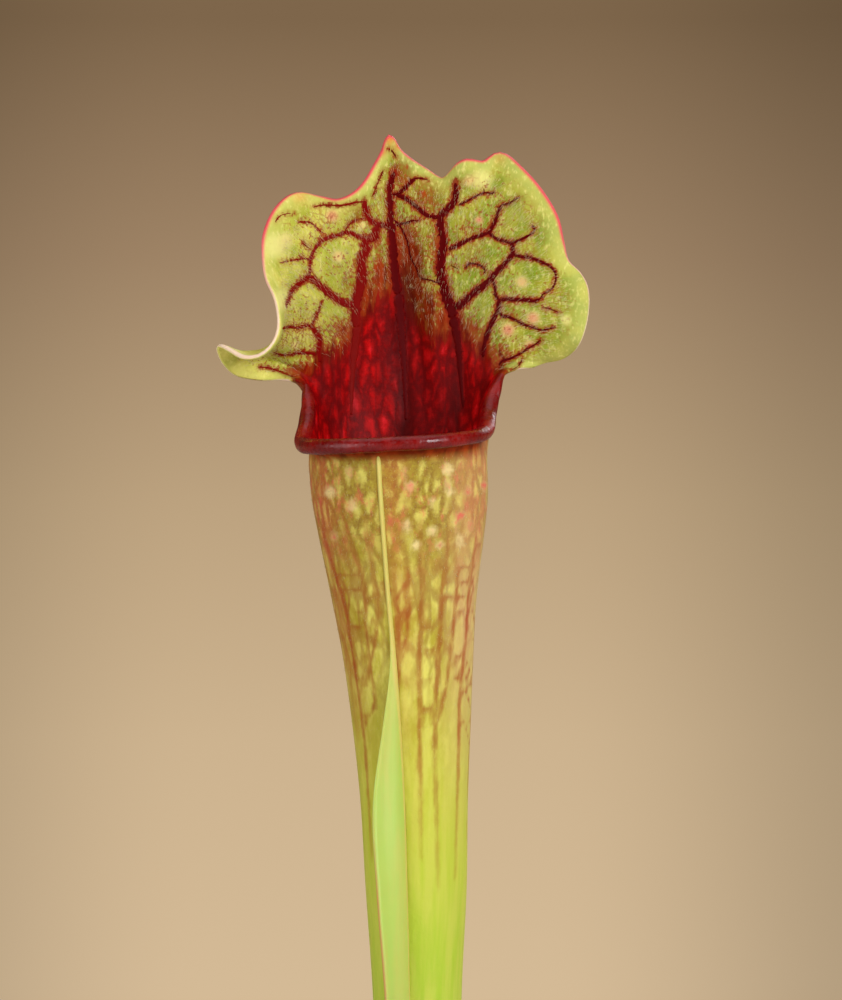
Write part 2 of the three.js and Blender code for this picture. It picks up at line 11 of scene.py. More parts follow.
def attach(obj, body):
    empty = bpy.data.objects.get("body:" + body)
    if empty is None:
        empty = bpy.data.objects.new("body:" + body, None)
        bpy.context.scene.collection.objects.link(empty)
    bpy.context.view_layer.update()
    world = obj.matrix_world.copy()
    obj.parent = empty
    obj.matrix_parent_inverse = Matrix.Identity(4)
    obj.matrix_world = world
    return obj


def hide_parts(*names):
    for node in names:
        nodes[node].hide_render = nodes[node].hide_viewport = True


# A potted trumpet pitcher plant, dressed for close-up renders.
# Lengths are worked out in millimetres, as in the part, and become metres when a mesh is made.

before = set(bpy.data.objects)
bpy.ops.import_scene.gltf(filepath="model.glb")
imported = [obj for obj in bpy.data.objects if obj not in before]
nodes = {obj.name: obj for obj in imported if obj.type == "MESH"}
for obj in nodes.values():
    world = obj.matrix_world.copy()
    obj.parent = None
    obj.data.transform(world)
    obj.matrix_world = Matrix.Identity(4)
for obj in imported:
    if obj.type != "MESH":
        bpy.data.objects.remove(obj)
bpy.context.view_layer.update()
mm = 0.001
draws = np.random.default_rng(7)
print("frame loaded:", ", ".join(sorted(nodes)))


# Camera, light and floor

stage = {
    "lens": 150.0,
    "cameraAt": (0.00299, -0.5417, 0.2522),
    # the backdrop from the foot of the view to its top, as a screen shows it
    "sky": [(0.06, (212, 186, 150)), (0.28, (205, 179, 143)), (0.5, (188, 162, 127)), (0.72, (159, 132, 102)),
            (0.94, (126, 102, 75))],
    "skyReach": 0.13,
    "skyCentre": -0.012,
    "skyDims": 0.33,
    "skyDimsFrom": (0.04, 0.13),
    "lightsAimAt": (0, 0, 0.27),
    "floorColour": (0.62, 0.57, 0.50),
    "floorRadius": 1.15,
    # name, place, diameter, watts, colour; a little cool, against the warm sky
    "lights": [
        ("key", (0.56, -0.66, 0.54), 0.5, 7.8, (0.90, 0.96, 1.0)),
        ("fill", (-0.66, -0.62, 0.4), 0.8, 5.0, (0.90, 0.96, 1.0)),
        ("top", (0.0, -0.05, 1.1), 1.0, 2.4, (0.95, 0.97, 1.0)),
        ("rim", (0.3, 0.65, 0.62), 0.5, 2.0, (0.95, 0.97, 1.0)),
    ],
}


def areaLight(name, place, size, watts, colour):
    data = bpy.data.lights.new(name, "AREA")
    data.shape = "DISK"
    data.size = size
    data.energy = watts
    data.color = colour
    light = bpy.data.objects.new(name, data)
    bpy.context.collection.objects.link(light)
    light.location = place
    light.rotation_euler = (Vector(stage["lightsAimAt"]) - Vector(place)).to_track_quat("-Z", "Y").to_euler()


def setStage():
    data = bpy.data.cameras.new("camera")
    data.sensor_fit = "VERTICAL"
    data.sensor_height = 36
    data.lens = stage["lens"]
    data.clip_start = 0.01
    data.clip_end = 20
    camera = bpy.data.objects.new("camera", data)
    bpy.context.collection.objects.link(camera)
    camera.location = stage["cameraAt"]
    camera.rotation_euler = (radians(90), 0, 0)
    bpy.context.scene.camera = camera

    # the sky runs from light at the foot of the view to dark at its top, and dims to both sides
    sky = Paint(bpy.data.worlds.new("studio"), stage)
    bpy.context.scene.world = sky.owner
    split = sky.add("SeparateXYZ", {0: sky.add("TexCoord").outputs["Generated"]})
    level = sky.add("MapRange", {"Value": split.outputs["Z"], "From Min": -stage["skyReach"],
                                 "From Max": stage["skyReach"]})
    ramp = sky.add("ValToRGB", {0: level.outputs[0]})
    stops = ramp.color_ramp.elements
    for place, colour in stage["sky"][1:-1]:
        stops.new(place).color = shade(*colour)
    for stop, (place, colour) in ((stops[0], stage["sky"][0]), (stops[len(stops) - 1], stage["sky"][-1])):
        stop.position, stop.color = place, shade(*colour)
    aside = sky.maths("ABSOLUTE", sky.maths("SUBTRACT", split.outputs["X"], stage["skyCentre"]))
    dimmed = sky.ramp(aside, *stage["skyDimsFrom"], 1, 1 - stage["skyDims"])
    sky.give(Color=ramp.outputs[0], Strength=dimmed)

    for light in stage["lights"]:
        areaLight(*light)
    bpy.context.scene.view_settings.view_transform = "Standard"

    form = bmesh.new()
    bmesh.ops.create_circle(form, cap_ends=True, segments=96, radius=stage["floorRadius"])
    floor = meshPiece("floor", form, [paleFloor()])
    print("stage set")


# Small helpers

def pieceFrom(name, data, materials, smooth=True):
    for material in materials:
        data.materials.append(material)
    data.polygons.foreach_set("use_smooth", np.full(len(data.polygons), smooth))
    piece = bpy.data.objects.new(name, data)
    bpy.context.collection.objects.link(piece)
    return piece


def meshPiece(name, form, materials):
    data = bpy.data.meshes.new(name)
    form.to_mesh(data)
    form.free()
    return pieceFrom(name, data, materials)


def startForm(*layerNames):
    form = bmesh.new()
    for name in layerNames:
        form.verts.layers.float.new(name)
    return form


def addGrid(form, points, **values):
    # a grid whose vertices are moved to points, (rows, columns, 3) in millimetres, with values kept on them
    rows, columns = points.shape[:2]
    made = bmesh.ops.create_grid(form, x_segments=columns - 1, y_segments=rows - 1, size=1)["verts"]
    for vertex, spot in zip(made, (points.reshape(-1, 3) * mm).tolist()):
        vertex.co = spot
    for name, field in values.items():
        layer = form.verts.layers.float[name]
        for vertex, value in zip(made, np.broadcast_to(field, (rows, columns)).ravel().tolist()):
            vertex[layer] = value


def closeForm(form):
    # seams and single-point ends are merged, and the faces turned outwards
    bmesh.ops.remove_doubles(form, verts=form.verts, dist=1e-7)
    bmesh.ops.recalc_face_normals(form, faces=form.faces)


def copiesOf(name, template, materials, places, turns, sizes, smooth=True):
    # one mesh of many copies of a small shape; places and turns are arrays, and places are in millimetres
    corners = np.array([v.co[:] for v in template.verts])
    faces = [[v.index for v in face.verts] for face in template.faces]
    template.free()
    spots = np.einsum("nij,nvj->nvi", turns, corners[None] * sizes[:, None]) + places[:, None]
    lists = [[k + index for index in face] for k in range(0, len(corners) * len(places), len(corners))
             for face in faces]
    data = bpy.data.meshes.new(name)
    data.from_pydata((spots.reshape(-1, 3) * mm).tolist(), [], lists)
    return pieceFrom(name, data, materials, smooth)


def cappedRows(rows):
    # rows of points, with both ends of the tube that they make drawn together into a point
    ends = [np.repeat(rows[k].mean(0)[None], rows.shape[1], 0) for k in (0, -1)]
    return np.concatenate([ends[:1], rows, ends[1:]])


def surfaceOf(piece):
    spots = np.empty(len(piece.data.vertices) * 3)
    piece.data.vertices.foreach_get("co", spots)
    spots = spots.reshape(-1, 3) / mm
    faces = [list(face.vertices) for face in piece.data.polygons]
    return BVHTree.FromPolygons(spots.tolist(), faces)


def smooth01(x):
    t = np.clip(x, 0, 1)
    return t * t * (3 - 2 * t)


def unit(v):
    return v / np.maximum(np.linalg.norm(v, axis=-1, keepdims=True), 1e-9)


# The view's own geometry: where a point shows in the 842 by 1000 frame, and the ray through such a place.
# The frame is 130 mm high at a distance of 541.7 mm.
eye = np.array(stage["cameraAt"]) / mm
frameMiddle = (421, 500)
perPixel = 130 / 1000 / 541.7


def pixelOf(points):
    depth = points[..., 1] - eye[1]
    across = frameMiddle[0] + (points[..., 0] - eye[0]) / depth / perPixel
    return across, frameMiddle[1] - (points[..., 2] - eye[2]) / depth / perPixel


def rayThrough(across, down):
    return unit(np.array([(across - frameMiddle[0]) * perPixel, 1.0, (frameMiddle[1] - down) * perPixel]))


# The shape of a pitcher leaf

def curveThrough(knots, rows):
    # a smooth curve through the row of values that each knot has
    knots, rows = np.array(knots, float), np.array(rows, float)
    shape = (-1,) + (1,) * (rows.ndim - 1)
    back = np.maximum(np.arange(len(knots)) - 1, 0)
    ahead = np.minimum(np.arange(len(knots)) + 1, len(knots) - 1)
    slopes = (rows[ahead] - rows[back]) / (knots[ahead] - knots[back]).reshape(shape)

    def through(at):
        at = np.atleast_1d(at)
        i = np.clip(np.searchsorted(knots, at) - 1, 0, len(knots) - 2)
        span = (knots[i + 1] - knots[i]).reshape(shape)
        t = np.clip((at - knots[i]) / (knots[i + 1] - knots[i]), 0, 1).reshape(shape)
        t2, t3 = t * t, t * t * t
        return ((2 * t3 - 3 * t2 + 1) * rows[i] + (t3 - 2 * t2 + t) * span * slopes[i]
                + (3 * t2 - 2 * t3) * rows[i + 1] + (t3 - t2) * span * slopes[i + 1])

    return through


def bridge(start, leaving, end, arriving, t):
    # a curve from start to end, with its direction at both; t runs from 0 to 1
    t2, t3 = t * t, t * t * t
    return (start * (2 * t3 - 3 * t2 + 1) + leaving * (t3 - 2 * t2 + t)
            + end * (3 * t2 - 2 * t3) + arriving * (t3 - t2))


class LeafSheet:
    # The middle of a pitcher's wall: tube, throat, lip and hood, by the angle round from its seam

    def __init__(self, leaf):
        self.leaf = leaf
        self.station = curveThrough([row[0] for row in leaf["stations"]], leaf["stations"])
        self.sides = [self.marginSide(leaf["right"], leaf["neckRight"]),
                      self.marginSide(leaf["left"], leaf["neckLeft"])]

    def marginSide(self, rows, neck):
        # one side's margin by angle: the lip's part is even, the hood's columns crowd by its neck and its tip
        rows = np.array(rows, float)
        row, neckAngle = neck
        run = np.concatenate([[0], np.cumsum(np.linalg.norm(np.diff(rows[:, :3], axis=0), axis=1))])
        through = curveThrough(run, rows)

        def at(angle):
            u = (angle - neckAngle) / (180 - neckAngle)
            share = u - self.leaf["crowding"] * np.sin(2 * np.pi * u) / (2 * np.pi)
            past = run[row] + (run[-1] - run[row]) * share
            return through(np.where(angle <= neckAngle, run[row] * angle / neckAngle, past))

        return at

    def marginAt(self, angle):
        size = np.abs(angle)
        return np.where((angle < 0)[:, None], self.sides[1](size), self.sides[0](size))

    def pastNeck(self, angle):
        return np.abs(angle) - np.where(angle < 0, self.leaf["neckLeft"][1], self.leaf["neckRight"][1])

    def tubeAt(self, angle, height):
        _, x, y, r = self.station(height)[:, :4].T
        turn = np.radians(angle + self.leaf["seamTurn"])
        mid = r - self.leaf["wall"] / 2
        heights = np.broadcast_to(np.asarray(height, float), turn.shape)
        return np.stack([x + mid * np.sin(turn), y - mid * np.cos(turn), heights], axis=-1)

    def sheetGrid(self, angle, count):
        # the way the sheet heads at its margin: outward and square to it by the neck, fanned over the hood,
        # and turned by the margin's curl
        leaf = self.leaf
        rows = self.marginAt(angle)
        tip, curl = rows[:, :3], rows[:, 3]
        step = 2
        along = unit(self.marginAt(np.minimum(180, angle + step))[:, :3]
                     - self.marginAt(np.maximum(-180, angle - step))[:, :3])
        size, past = np.abs(angle), self.pastNeck(angle)
        hoodShare = smooth01((past + leaf["neckBlend"]) / (2 * leaf["neckBlend"]))
        facing = np.radians(size + (170 - size) * smooth01((past + 25) / 45)) * np.where(angle < 0, -1, 1)
        away = np.stack([np.sin(facing), -np.cos(facing), np.zeros_like(facing)], axis=-1)
        square = 1 - smooth01((past - 6) / 35)
        heading = unit(np.cross(away, along)) * square[:, None]
        heading = heading + away * (0.7 * (1 - hoodShare))[:, None]
        heading = unit(heading + unit(tip - np.array(leaf["fan"])) * (1.2 * hoodShare)[:, None])
        turn = -np.radians(curl)[:, None]
        heading = (heading * np.cos(turn) + np.cross(along, heading) * np.sin(turn)
                   + along * (along * heading).sum(-1, keepdims=True) * (1 - np.cos(turn)))
        # how far the margin stands behind the hood's general curve
        ruffle = (tip[:, 1] - (leaf["hoodDepth"][0] - leaf["hoodDepth"][1] * tip[:, 0] ** 2)) * hoodShare

        # the lip rises from the tube's shoulder in one curve, the hood in two that meet in the throat
        start = self.tubeAt(angle, -leaf["shoulderDrop"])
        chord = np.linalg.norm(tip - start, axis=1)[:, None]
        x, y, wide, deep, height = leaf["throat"]
        turn = np.radians(angle + leaf["seamTurn"])
        level = np.full_like(turn, height)
        via = np.stack([x + wide * np.sin(turn), y - deep * np.cos(turn), level], axis=-1)
        flat = tip.copy()
        flat[:, 1] -= ruffle
        below = np.linalg.norm(via - start, axis=1)[:, None]
        above = np.linalg.norm(flat - via, axis=1)[:, None]
        reach = heading * above * 0.85 * (1 - 0.65 * smooth01(curl / 100))[:, None]
        up = np.array([0.0, 0.0, 1.0])
        viaShare, share = 0.33, hoodShare[:, None]
        grid = []
        for k in range(count + 1):
            t = k / count
            lip = bridge(start, up * chord * 0.9, tip, heading * chord * 0.7, t)
            if t < viaShare:
                hood = bridge(start, up * below, via, up * below, t / viaShare)
            else:
                hood = bridge(via, up * above * 1.52, flat, reach, (t - viaShare) / (1 - viaShare))
            ridge = np.exp(-(((180 - size) / 11) ** 2)) * np.sin(np.pi * smooth01(t))
            hood = hood + np.stack([0 * size, leaf["keel"] * ridge + ruffle * t ** 4, 0 * size], axis=-1)
            grid.append(lip * (1 - share) + hood * share)
        return np.array(grid)

    def settle(self, grid, angle):
        # the hood's rows between its foot and its margin are evened out
        ease = (0.5 * smooth01((self.pastNeck(angle) + 8) / 16))[:, None]
        for _ in range(self.leaf["settling"]):
            for j in range(1, len(grid) - 1):
                middle = (grid[j - 1] + grid[j + 1] + np.roll(grid[j], 1, 0) + np.roll(grid[j], -1, 0)) / 4
                grid[j] = grid[j] + (middle - grid[j]) * ease
        return grid


def coarseAngles(leaf):
    # the columns that the solid has, from the seam up the right side and down the left
    root = np.degrees(np.arcsin(leaf["wingHalf"] / leaf["stations"][-1][3]))
    halves = []
    for _, neckAngle in (leaf["neckRight"], leaf["neckLeft"]):
        lip = neckAngle * np.arange(leaf["lipColumns"] + 1) / leaf["lipColumns"]
        hood = neckAngle + (180 - neckAngle) * np.arange(1, leaf["hoodColumns"] + 1) / leaf["hoodColumns"]
        halves.append(root + (180 - root) * np.concatenate([lip, hood]) / 180)
    return np.concatenate([halves[0], -halves[1][-2::-1]])


def fineAngles(coarse, perColumn):
    turned = np.concatenate([np.where(coarse < 0, coarse + 360, coarse), [coarse[0] + 360]])
    fine = [turned[k] + (turned[k + 1] - turned[k]) * np.arange(perColumn) / perColumn
            for k in range(len(turned) - 1)]
    return np.concatenate(fine), turned


def pitcherGrid(leaf):
    # rows of the wall's middle at fine columns: tube, sheet and the rim that rolls on from the margin
    sheet = LeafSheet(leaf)
    coarse = coarseAngles(leaf)
    rough = sheet.settle(sheet.sheetGrid(coarse, leaf["sheetRows"]), coarse)
    fine, turned = fineAngles(coarse, leaf["perColumn"])
    signed = np.where(fine > 180, fine - 360, fine)
    # finer columns, on curves that lap over the seam
    lap = 4
    knots = np.concatenate([turned[:-1][-lap:] - 360, turned[:-1], turned[:-1][:lap] + 360])
    wide = np.concatenate([rough[:, -lap:], rough, rough[:, :lap]], axis=1).transpose(1, 0, 2)
    across = curveThrough(knots, wide)(fine).transpose(1, 0, 2)

    # up the sheet, starting in line with the tube and ending on the true margin
    below = across[0] - (across[1] - across[0]) * np.array([0, 0, 1.0])
    beyond = 2 * across[-1] - across[-2]
    levels = np.arange(-1, leaf["sheetRows"] + 2)
    climb = curveThrough(levels, np.concatenate([[below], across, [beyond]]))
    at = np.arange(leaf["sheetRows"] * leaf["perRow"] + 1) / leaf["perRow"]
    sheetRows = climb(at)
    margin = sheet.marginAt(signed)
    pull = margin[:, :3] - sheetRows[-1]
    for j, level in enumerate(at):
        sheetRows[j] += pull * max(0, (level / leaf["sheetRows"] - 0.7) / 0.3) ** 2

    # the tube's rows are closer together in its upper part
    low, high = leaf["stations"][0][0], -leaf["shoulderDrop"]
    coarseRows, fineRows = leaf["tubeRows"]
    middle = low + (high - low) * leaf["fineFrom"]
    heights = np.concatenate([np.linspace(low, middle, coarseRows, endpoint=False),
                              np.linspace(middle, high, fineRows, endpoint=False)])
    tubeRows = np.array([sheet.tubeAt(signed, np.full_like(signed, h)) for h in heights])

    # the rim rolls on from the margin on an arc of its own turn and length
    last = sheetRows[-1]
    along = unit(np.roll(last, -2, 0) - np.roll(last, 2, 0))
    out = last - sheetRows[-1 - leaf["perRow"]]
    out = unit(out - along * (out * along).sum(-1, keepdims=True))
    for _ in range(3):
        out = unit(out + (np.roll(out, 1, 0) + np.roll(out, -1, 0)) / 2)
    side = unit(np.cross(along, out))
    turn = np.radians(np.maximum(0.1, margin[:, 4]))[:, None]
    radius = margin[:, 5][:, None] / turn
    steps = np.arange(1, leaf["rimRows"] + 1) / leaf["rimRows"]
    rimRows = np.array([last + out * radius * np.sin(turn * s) + side * radius * (1 - np.cos(turn * s))
                        for s in steps])
    rows = np.concatenate([tubeRows, sheetRows, rimRows])
    level = np.concatenate([(heights - high) / 10 - 0.1, at / leaf["sheetRows"], 1 + steps])
    return rows, level, signed, margin, sheet


def wrapped(field, axis=0):
    # the first column again at the end, where the leaf closes round
    return np.concatenate([field, np.take(field, [0], axis)], axis)


def pitcherSkins(leaf):
    # both skins as rings from the foot up the outside, over the brim and down inside to the well
    rows, level, angle, margin, sheet = pitcherGrid(leaf)
    ahead = np.concatenate([rows[1:], rows[-1:]])
    behind = np.concatenate([rows[:1], rows[:-1]])
    normal = unit(np.cross(np.roll(rows, -1, 1) - np.roll(rows, 1, 1), ahead - behind))
    hoodShare = smooth01((sheet.pastNeck(angle) + 10) / 20)[None, :, None]
    thin = smooth01((level - 0.55) / 0.4)[:, None, None]
    half = leaf["wall"] / 2 * (1 - leaf["thinning"] * thin * hoodShare)
    outer, inner = rows + normal * half, rows - normal * half
    brim = rows[-1] + unit(rows[-1] - rows[-2]) * half[-1]
    # the inner skin ends at the cavity's floor and has every third row in the tube
    keep = level > (leaf["cavityFloor"] + leaf["shoulderDrop"]) / 10 - 0.1
    keep &= (level >= 0) | (np.arange(len(level)) % 3 == 0)
    inner, innerLevel = inner[keep][::-1], level[keep][::-1]
    foot, well = outer[0].mean(0), inner[-1].mean(0)
    rings = wrapped(np.concatenate([np.broadcast_to(foot, outer[:1].shape), outer, [brim], inner,
                                    np.broadcast_to(well, outer[:1].shape)]), 1)
    levels = np.concatenate([level[:1], level, [2], innerLevel, innerLevel[-1:]])
    skin = np.concatenate([np.zeros(len(level) + 1), [0.5], np.ones(len(innerLevel) + 1)])
    out = np.concatenate([normal[:1], normal, normal[-1:], normal[keep][::-1], normal[:1]])
    byRow = {"level": levels, "skin": skin}
    byColumn = {"turn": angle, "past": sheet.pastNeck(angle), "roll": margin[:, 4]}
    values = {key: np.broadcast_to(field[:, None], rings.shape[:2]) for key, field in byRow.items()}
    values |= {key: np.broadcast_to(wrapped(field), rings.shape[:2]) for key, field in byColumn.items()}
    return rings, {**values, "out": wrapped(out, 1)}


# Materials

def shade(red, green, blue):
    # a colour as a screen shows it, 0 to 255, turned into the scene's own linear values
    screen = np.array([red, green, blue]) / 255
    linear = np.where(screen <= 0.04045, screen / 12.92, ((screen + 0.055) / 1.055) ** 2.4)
    return tuple(float(c) for c in linear) + (1.0,)


class Paint:
    # The nodes of a material or of the world. A value is a number, a colour or another node's socket.

    def __init__(self, owner, look, **fixed):
        owner.use_nodes = True
        self.owner, self.tree, self.look = owner, owner.node_tree, look
        self.target = self.tree.nodes.get("Principled BSDF") or self.tree.nodes["Background"]
        self.give(**fixed)

    def plug(self, socket, value):
        if isinstance(value, bpy.types.NodeSocket):
            self.tree.links.new(value, socket)
        else:
            socket.default_value = value

    def give(self, **values):
        # sets the inputs of the surface or the sky
        for key, value in values.items():
            self.plug(self.target.inputs[key.replace("_", " ")], value)

    def add(self, kind, inputs=(), **settings):
        made = self.tree.nodes.new("ShaderNode" + kind)
        for key, value in settings.items():
            setattr(made, key, value)
        for key, value in dict(inputs).items():
            self.plug(made.inputs[key], value)
        return made

    def maths(self, operation, a, b=0.0):
        return self.add("Math", {0: a, 1: b}, operation=operation).outputs[0]

    def plus(self, a, b):
        return self.maths("ADD", a, b)

    def times(self, a, b):
        return self.maths("MULTIPLY", a, b)

    def tint(self, colour):
        # a colour can be given by its name in the look
        return shade(*self.look[colour]) if isinstance(colour, str) else colour

    def mix(self, factor, a, b):
        made = self.add("Mix", {0: factor, 6: self.tint(a), 7: self.tint(b)}, data_type="RGBA")
        return made.outputs[2]

    def ramp(self, value, low, high, start=0.0, end=1.0):
        # start where the value is low, end where it is high, and a smooth step between
        return self.add("MapRange", {"Value": value, "From Min": low, "From Max": high, "To Min": start,
                                     "To Max": end}, interpolation_type="SMOOTHSTEP").outputs[0]

    def kept(self, name):
        # a value that the mesh keeps at its corners
        return self.add("Attribute", attribute_name=name).outputs["Fac"]

    def place(self, scale=(1, 1, 1), shift=(0, 0, 0)):
        coordinates = self.add("TexCoord").outputs["Object"]
        return self.add("Mapping", {"Vector": coordinates, "Scale": scale, "Location": shift}).outputs[0]

    def axis(self, name):
        return self.add("SeparateXYZ", {0: self.place()}).outputs[name]

    def heights(self, name):
        return [height * mm for height in self.look[name]]

    def noise(self, scale, detail=4.0, rough=0.55, stretch=(1, 1, 1), shift=(0, 0, 0)):
        return self.add("TexNoise", {"Vector": self.place(stretch, shift), "Scale": scale, "Detail": detail,
                                     "Roughness": rough}).outputs["Fac"]

    def sway(self, amount, *noise, **settings):
        # noise that takes up to this amount away, or adds it
        return self.ramp(self.noise(*noise, **settings), 0.25, 0.75, -amount, amount)

    def cells(self, scale, stretch, warp):
        # the distance to the nearest wall in a net of cells, bent so that no wall runs straight
        place = self.place(stretch)
        bend = self.add("TexNoise", {"Vector": place, "Scale": scale * 0.7, "Detail": 2.0})
        push = self.add("VectorMath", {0: bend.outputs["Color"], 1: (0.5, 0.5, 0.5)}, operation="SUBTRACT")
        far = self.add("VectorMath", {0: push.outputs[0], "Scale": warp}, operation="SCALE")
        place = self.add("VectorMath", {0: place, 1: far.outputs[0]}, operation="ADD").outputs[0]
        return self.add("TexVoronoi", {"Vector": place, "Scale": scale},
                        feature="DISTANCE_TO_EDGE").outputs["Distance"]

    def bump(self, height, strength, distance):
        made = self.add("Bump", {"Height": height, "Strength": strength, "Distance": distance})
        self.give(Normal=made.outputs[0])

    def verbs(self):
        # the ones used most, to be called by their short names
        return self.mix, self.ramp, self.plus, self.times, self.noise, self.sway


def paintFor(name, look, **fixed):
    return Paint(bpy.data.materials.new(name), look, **fixed)


def paleFloor():
    paint = paintFor("paleFloor", stage, Roughness=0.8)
    light, dim = ((*(c * share for c in stage["floorColour"]), 1) for share in (1, 0.94))
    paint.give(Base_Color=paint.mix(paint.noise(30, 3), light, dim))
    return paint.owner


# The tall pitcher

tallPitcher = {
    "base": (2.5, 4.0),
    "mouthHeight": 260,
    "facing": 0,
    "wall": 0.8,
    "thinning": 0.35,
    "wingHalf": 0.34,
    "neckBlend": 8.4,
    "crowding": 0.5,
    "neckRight": (6, 108),
    "neckLeft": (6, 86),
    "throat": (0, 2.6, 12.4, 9.9, 4.6),
    "seamTurn": -12,
    "shoulderDrop": 3,
    "fan": (0.4, 13, 16),
    "hoodDepth": (8, 0.011),
    "keel": 1.4,
    "cavityFloor": -150,
    "settling": 8,
    "lipColumns": 9,
    "hoodColumns": 28,
    "sheetRows": 12,
    "tubeRows": (16, 96),
    "fineFrom": 0.49,
    "rimRows": 9,
    "perColumn": 4,
    "perRow": 6,
    # where the tube flushes red: angle from the seam, width, how much
    "flushes": [(10, 9, 0.5), (78, 26, 0.95), (-56, 22, 0.95), (165, 30, 0.6)],
    # height from the lip's datum, axis x, axis y, half width, wing width, wing lean
    "stations": [
        (-183, 2.5, 4.0, 3.4, 0.3, 0), (-172, 2.5, 4.0, 3.0, 0.3, 0), (-160, 2.7, 3.8, 3.2, 3.6, 11),
        (-150, 2.9, 3.6, 3.5, 5.5, 12), (-110, 3.0, 2.6, 4.5, 6.6, 16), (-72, 2.5, 1.4, 5.8, 6.1, 26),
        (-58, 2.35, 1.0, 6.6, 5.6, 46), (-47, 2.1, 0.8, 7.0, 4.9, 63), (-37, 1.75, 0.5, 7.7, 2.6, 66),
        (-28, 1.3, 0.3, 8.5, 0.7, 50), (-20, 0.75, 0.1, 9.5, 0.35, 10), (-8, 0.25, 0, 11.4, 0.3, 0),
        (-3, 0, 0, 11.6, 0.3, 0),
    ],
    # the margin from the seam to the hood's tip: x, y, height, curl, the rim's turn and its length
    "right": [
        (-2.6, -12.6, -0.5, 0, 215, 2.3), (4.0, -12.3, -0.1, 0, 215, 2.2), (8.9, -8.5, 0.5, 0, 210, 2.0),
        (10.8, -4.4, 1.4, 0, 195, 2.1), (11.2, -0.8, 3.6, 0, 155, 1.75), (12.0, 0.9, 6.0, 0, 95, 1.15),
        (13.3, 2.5, 8.2, 0, 40, 0.5), (15.3, 4.3, 9.6, 0, 25, 0.5), (18.6, 5.2, 10.7, 0, 20, 0.7),
        (21.3, 4.2, 11.4, 0, 10, 0.7), (23.1, 2.2, 13.5, 0, 0, 0.8), (23.9, 2.8, 16.6, 0, 0, 0.8),
        (23.9, 4.0, 19.6, 0, 5, 0.8), (23.1, 5.2, 21.5, -10, 10, 0.8), (21.5, 5.6, 23.2, -10, 10, 0.8),
        (20.8, 5.4, 25.8, 0, 0, 0.8), (20.0, 5.0, 29.1, 0, 0, 0.8), (17.8, 5.3, 32.7, 0, 5, 0.8),
        (15.3, 6.4, 35.5, -10, 10, 0.8), (13.3, 7.8, 37.1, -20, 20, 0.8), (11.4, 7.2, 35.9, -10, 20, 0.8),
        (8.8, 6.4, 36.0, -5, 15, 0.8), (5.8, 8.4, 33.8, -30, 35, 0.9), (3.1, 8.8, 35.2, -20, 30, 0.9),
        (0.2, 8.2, 37.5, -5, 10, 0.6), (-1.1, 7.0, 39.6, 0, 0, 0.5),
    ],
    "left": [
        (-2.6, -12.6, -0.5, 0, 215, 2.3), (-6.3, -11.6, -0.6, 0, 215, 2.4), (-10.1, -8.5, -0.6, 0, 215, 2.5),
        (-11.7, -4.6, -0.2, 0, 205, 2.3), (-11.2, -1.2, 2.1, 0, 160, 1.9), (-11.2, 0.6, 4.8, 0, 95, 1.2),
        (-12.1, 2.4, 7.1, 0, 40, 0.5), (-13.8, 3.5, 7.9, 0, 25, 0.5), (-15.9, 4.0, 8.4, 0, 20, 0.5),
        (-18.7, 3.4, 8.7, 0, 10, 0.6), (-20.7, 2.0, 9.3, 10, 10, 0.8), (-22.2, 0.6, 10.6, 30, 0, 0.7),
        (-22.8, -1.0, 12.1, 50, 0, 0.5), (-21.4, -3.0, 11.5, 80, 0, 0.5), (-19.6, -4.6, 10.7, 115, 0, 0.7),
        (-17.7, -5.4, 10.9, 115, 0, 0.8), (-16.2, -5.6, 12.1, 95, 0, 0.8), (-15.4, -5.2, 13.8, 60, 0, 0.8),
        (-15.3, -4.0, 16.0, 30, 0, 0.8), (-15.7, -2.4, 18.3, 15, 0, 0.8), (-16.6, -0.8, 20.6, 10, 0, 0.8),
        (-17.0, 0.6, 23.4, 0, 0, 0.8), (-16.9, 2.0, 26.3, 0, 5, 0.8), (-15.8, 3.4, 29.2, 0, 10, 0.8),
        (-14.1, 5.2, 31.2, -10, 20, 0.8), (-12.6, 6.6, 31.8, -20, 25, 0.8), (-10.6, 7.2, 31.3, -20, 30, 0.8),
        (-8.1, 6.6, 30.7, -10, 30, 0.9), (-5.9, 6.4, 31.4, -10, 30, 0.9), (-4.1, 7.2, 33.2, -10, 20, 0.8),
        (-2.5, 7.8, 36.0, 0, 10, 0.7), (-1.6, 7.6, 38.0, 0, 0, 0.5), (-1.1, 7.0, 39.6, 0, 0, 0.5),
    ],
}


def spinBy(turn):
    return np.array([[np.cos(turn), -np.sin(turn), 0], [np.sin(turn), np.cos(turn), 0], [0, 0, 1]])


def spinOf(leaf):
    return spinBy(radians(leaf["facing"]))


def standLeaf(leaf, points):
    # from the leaf's own frame, with its lip's datum at height 0, to the plant's
    foot = np.array([leaf["stations"][0][1], leaf["stations"][0][2], 0.0])
    return (points - foot) @ spinOf(leaf).T + np.array([*leaf["base"], leaf["mouthHeight"]])


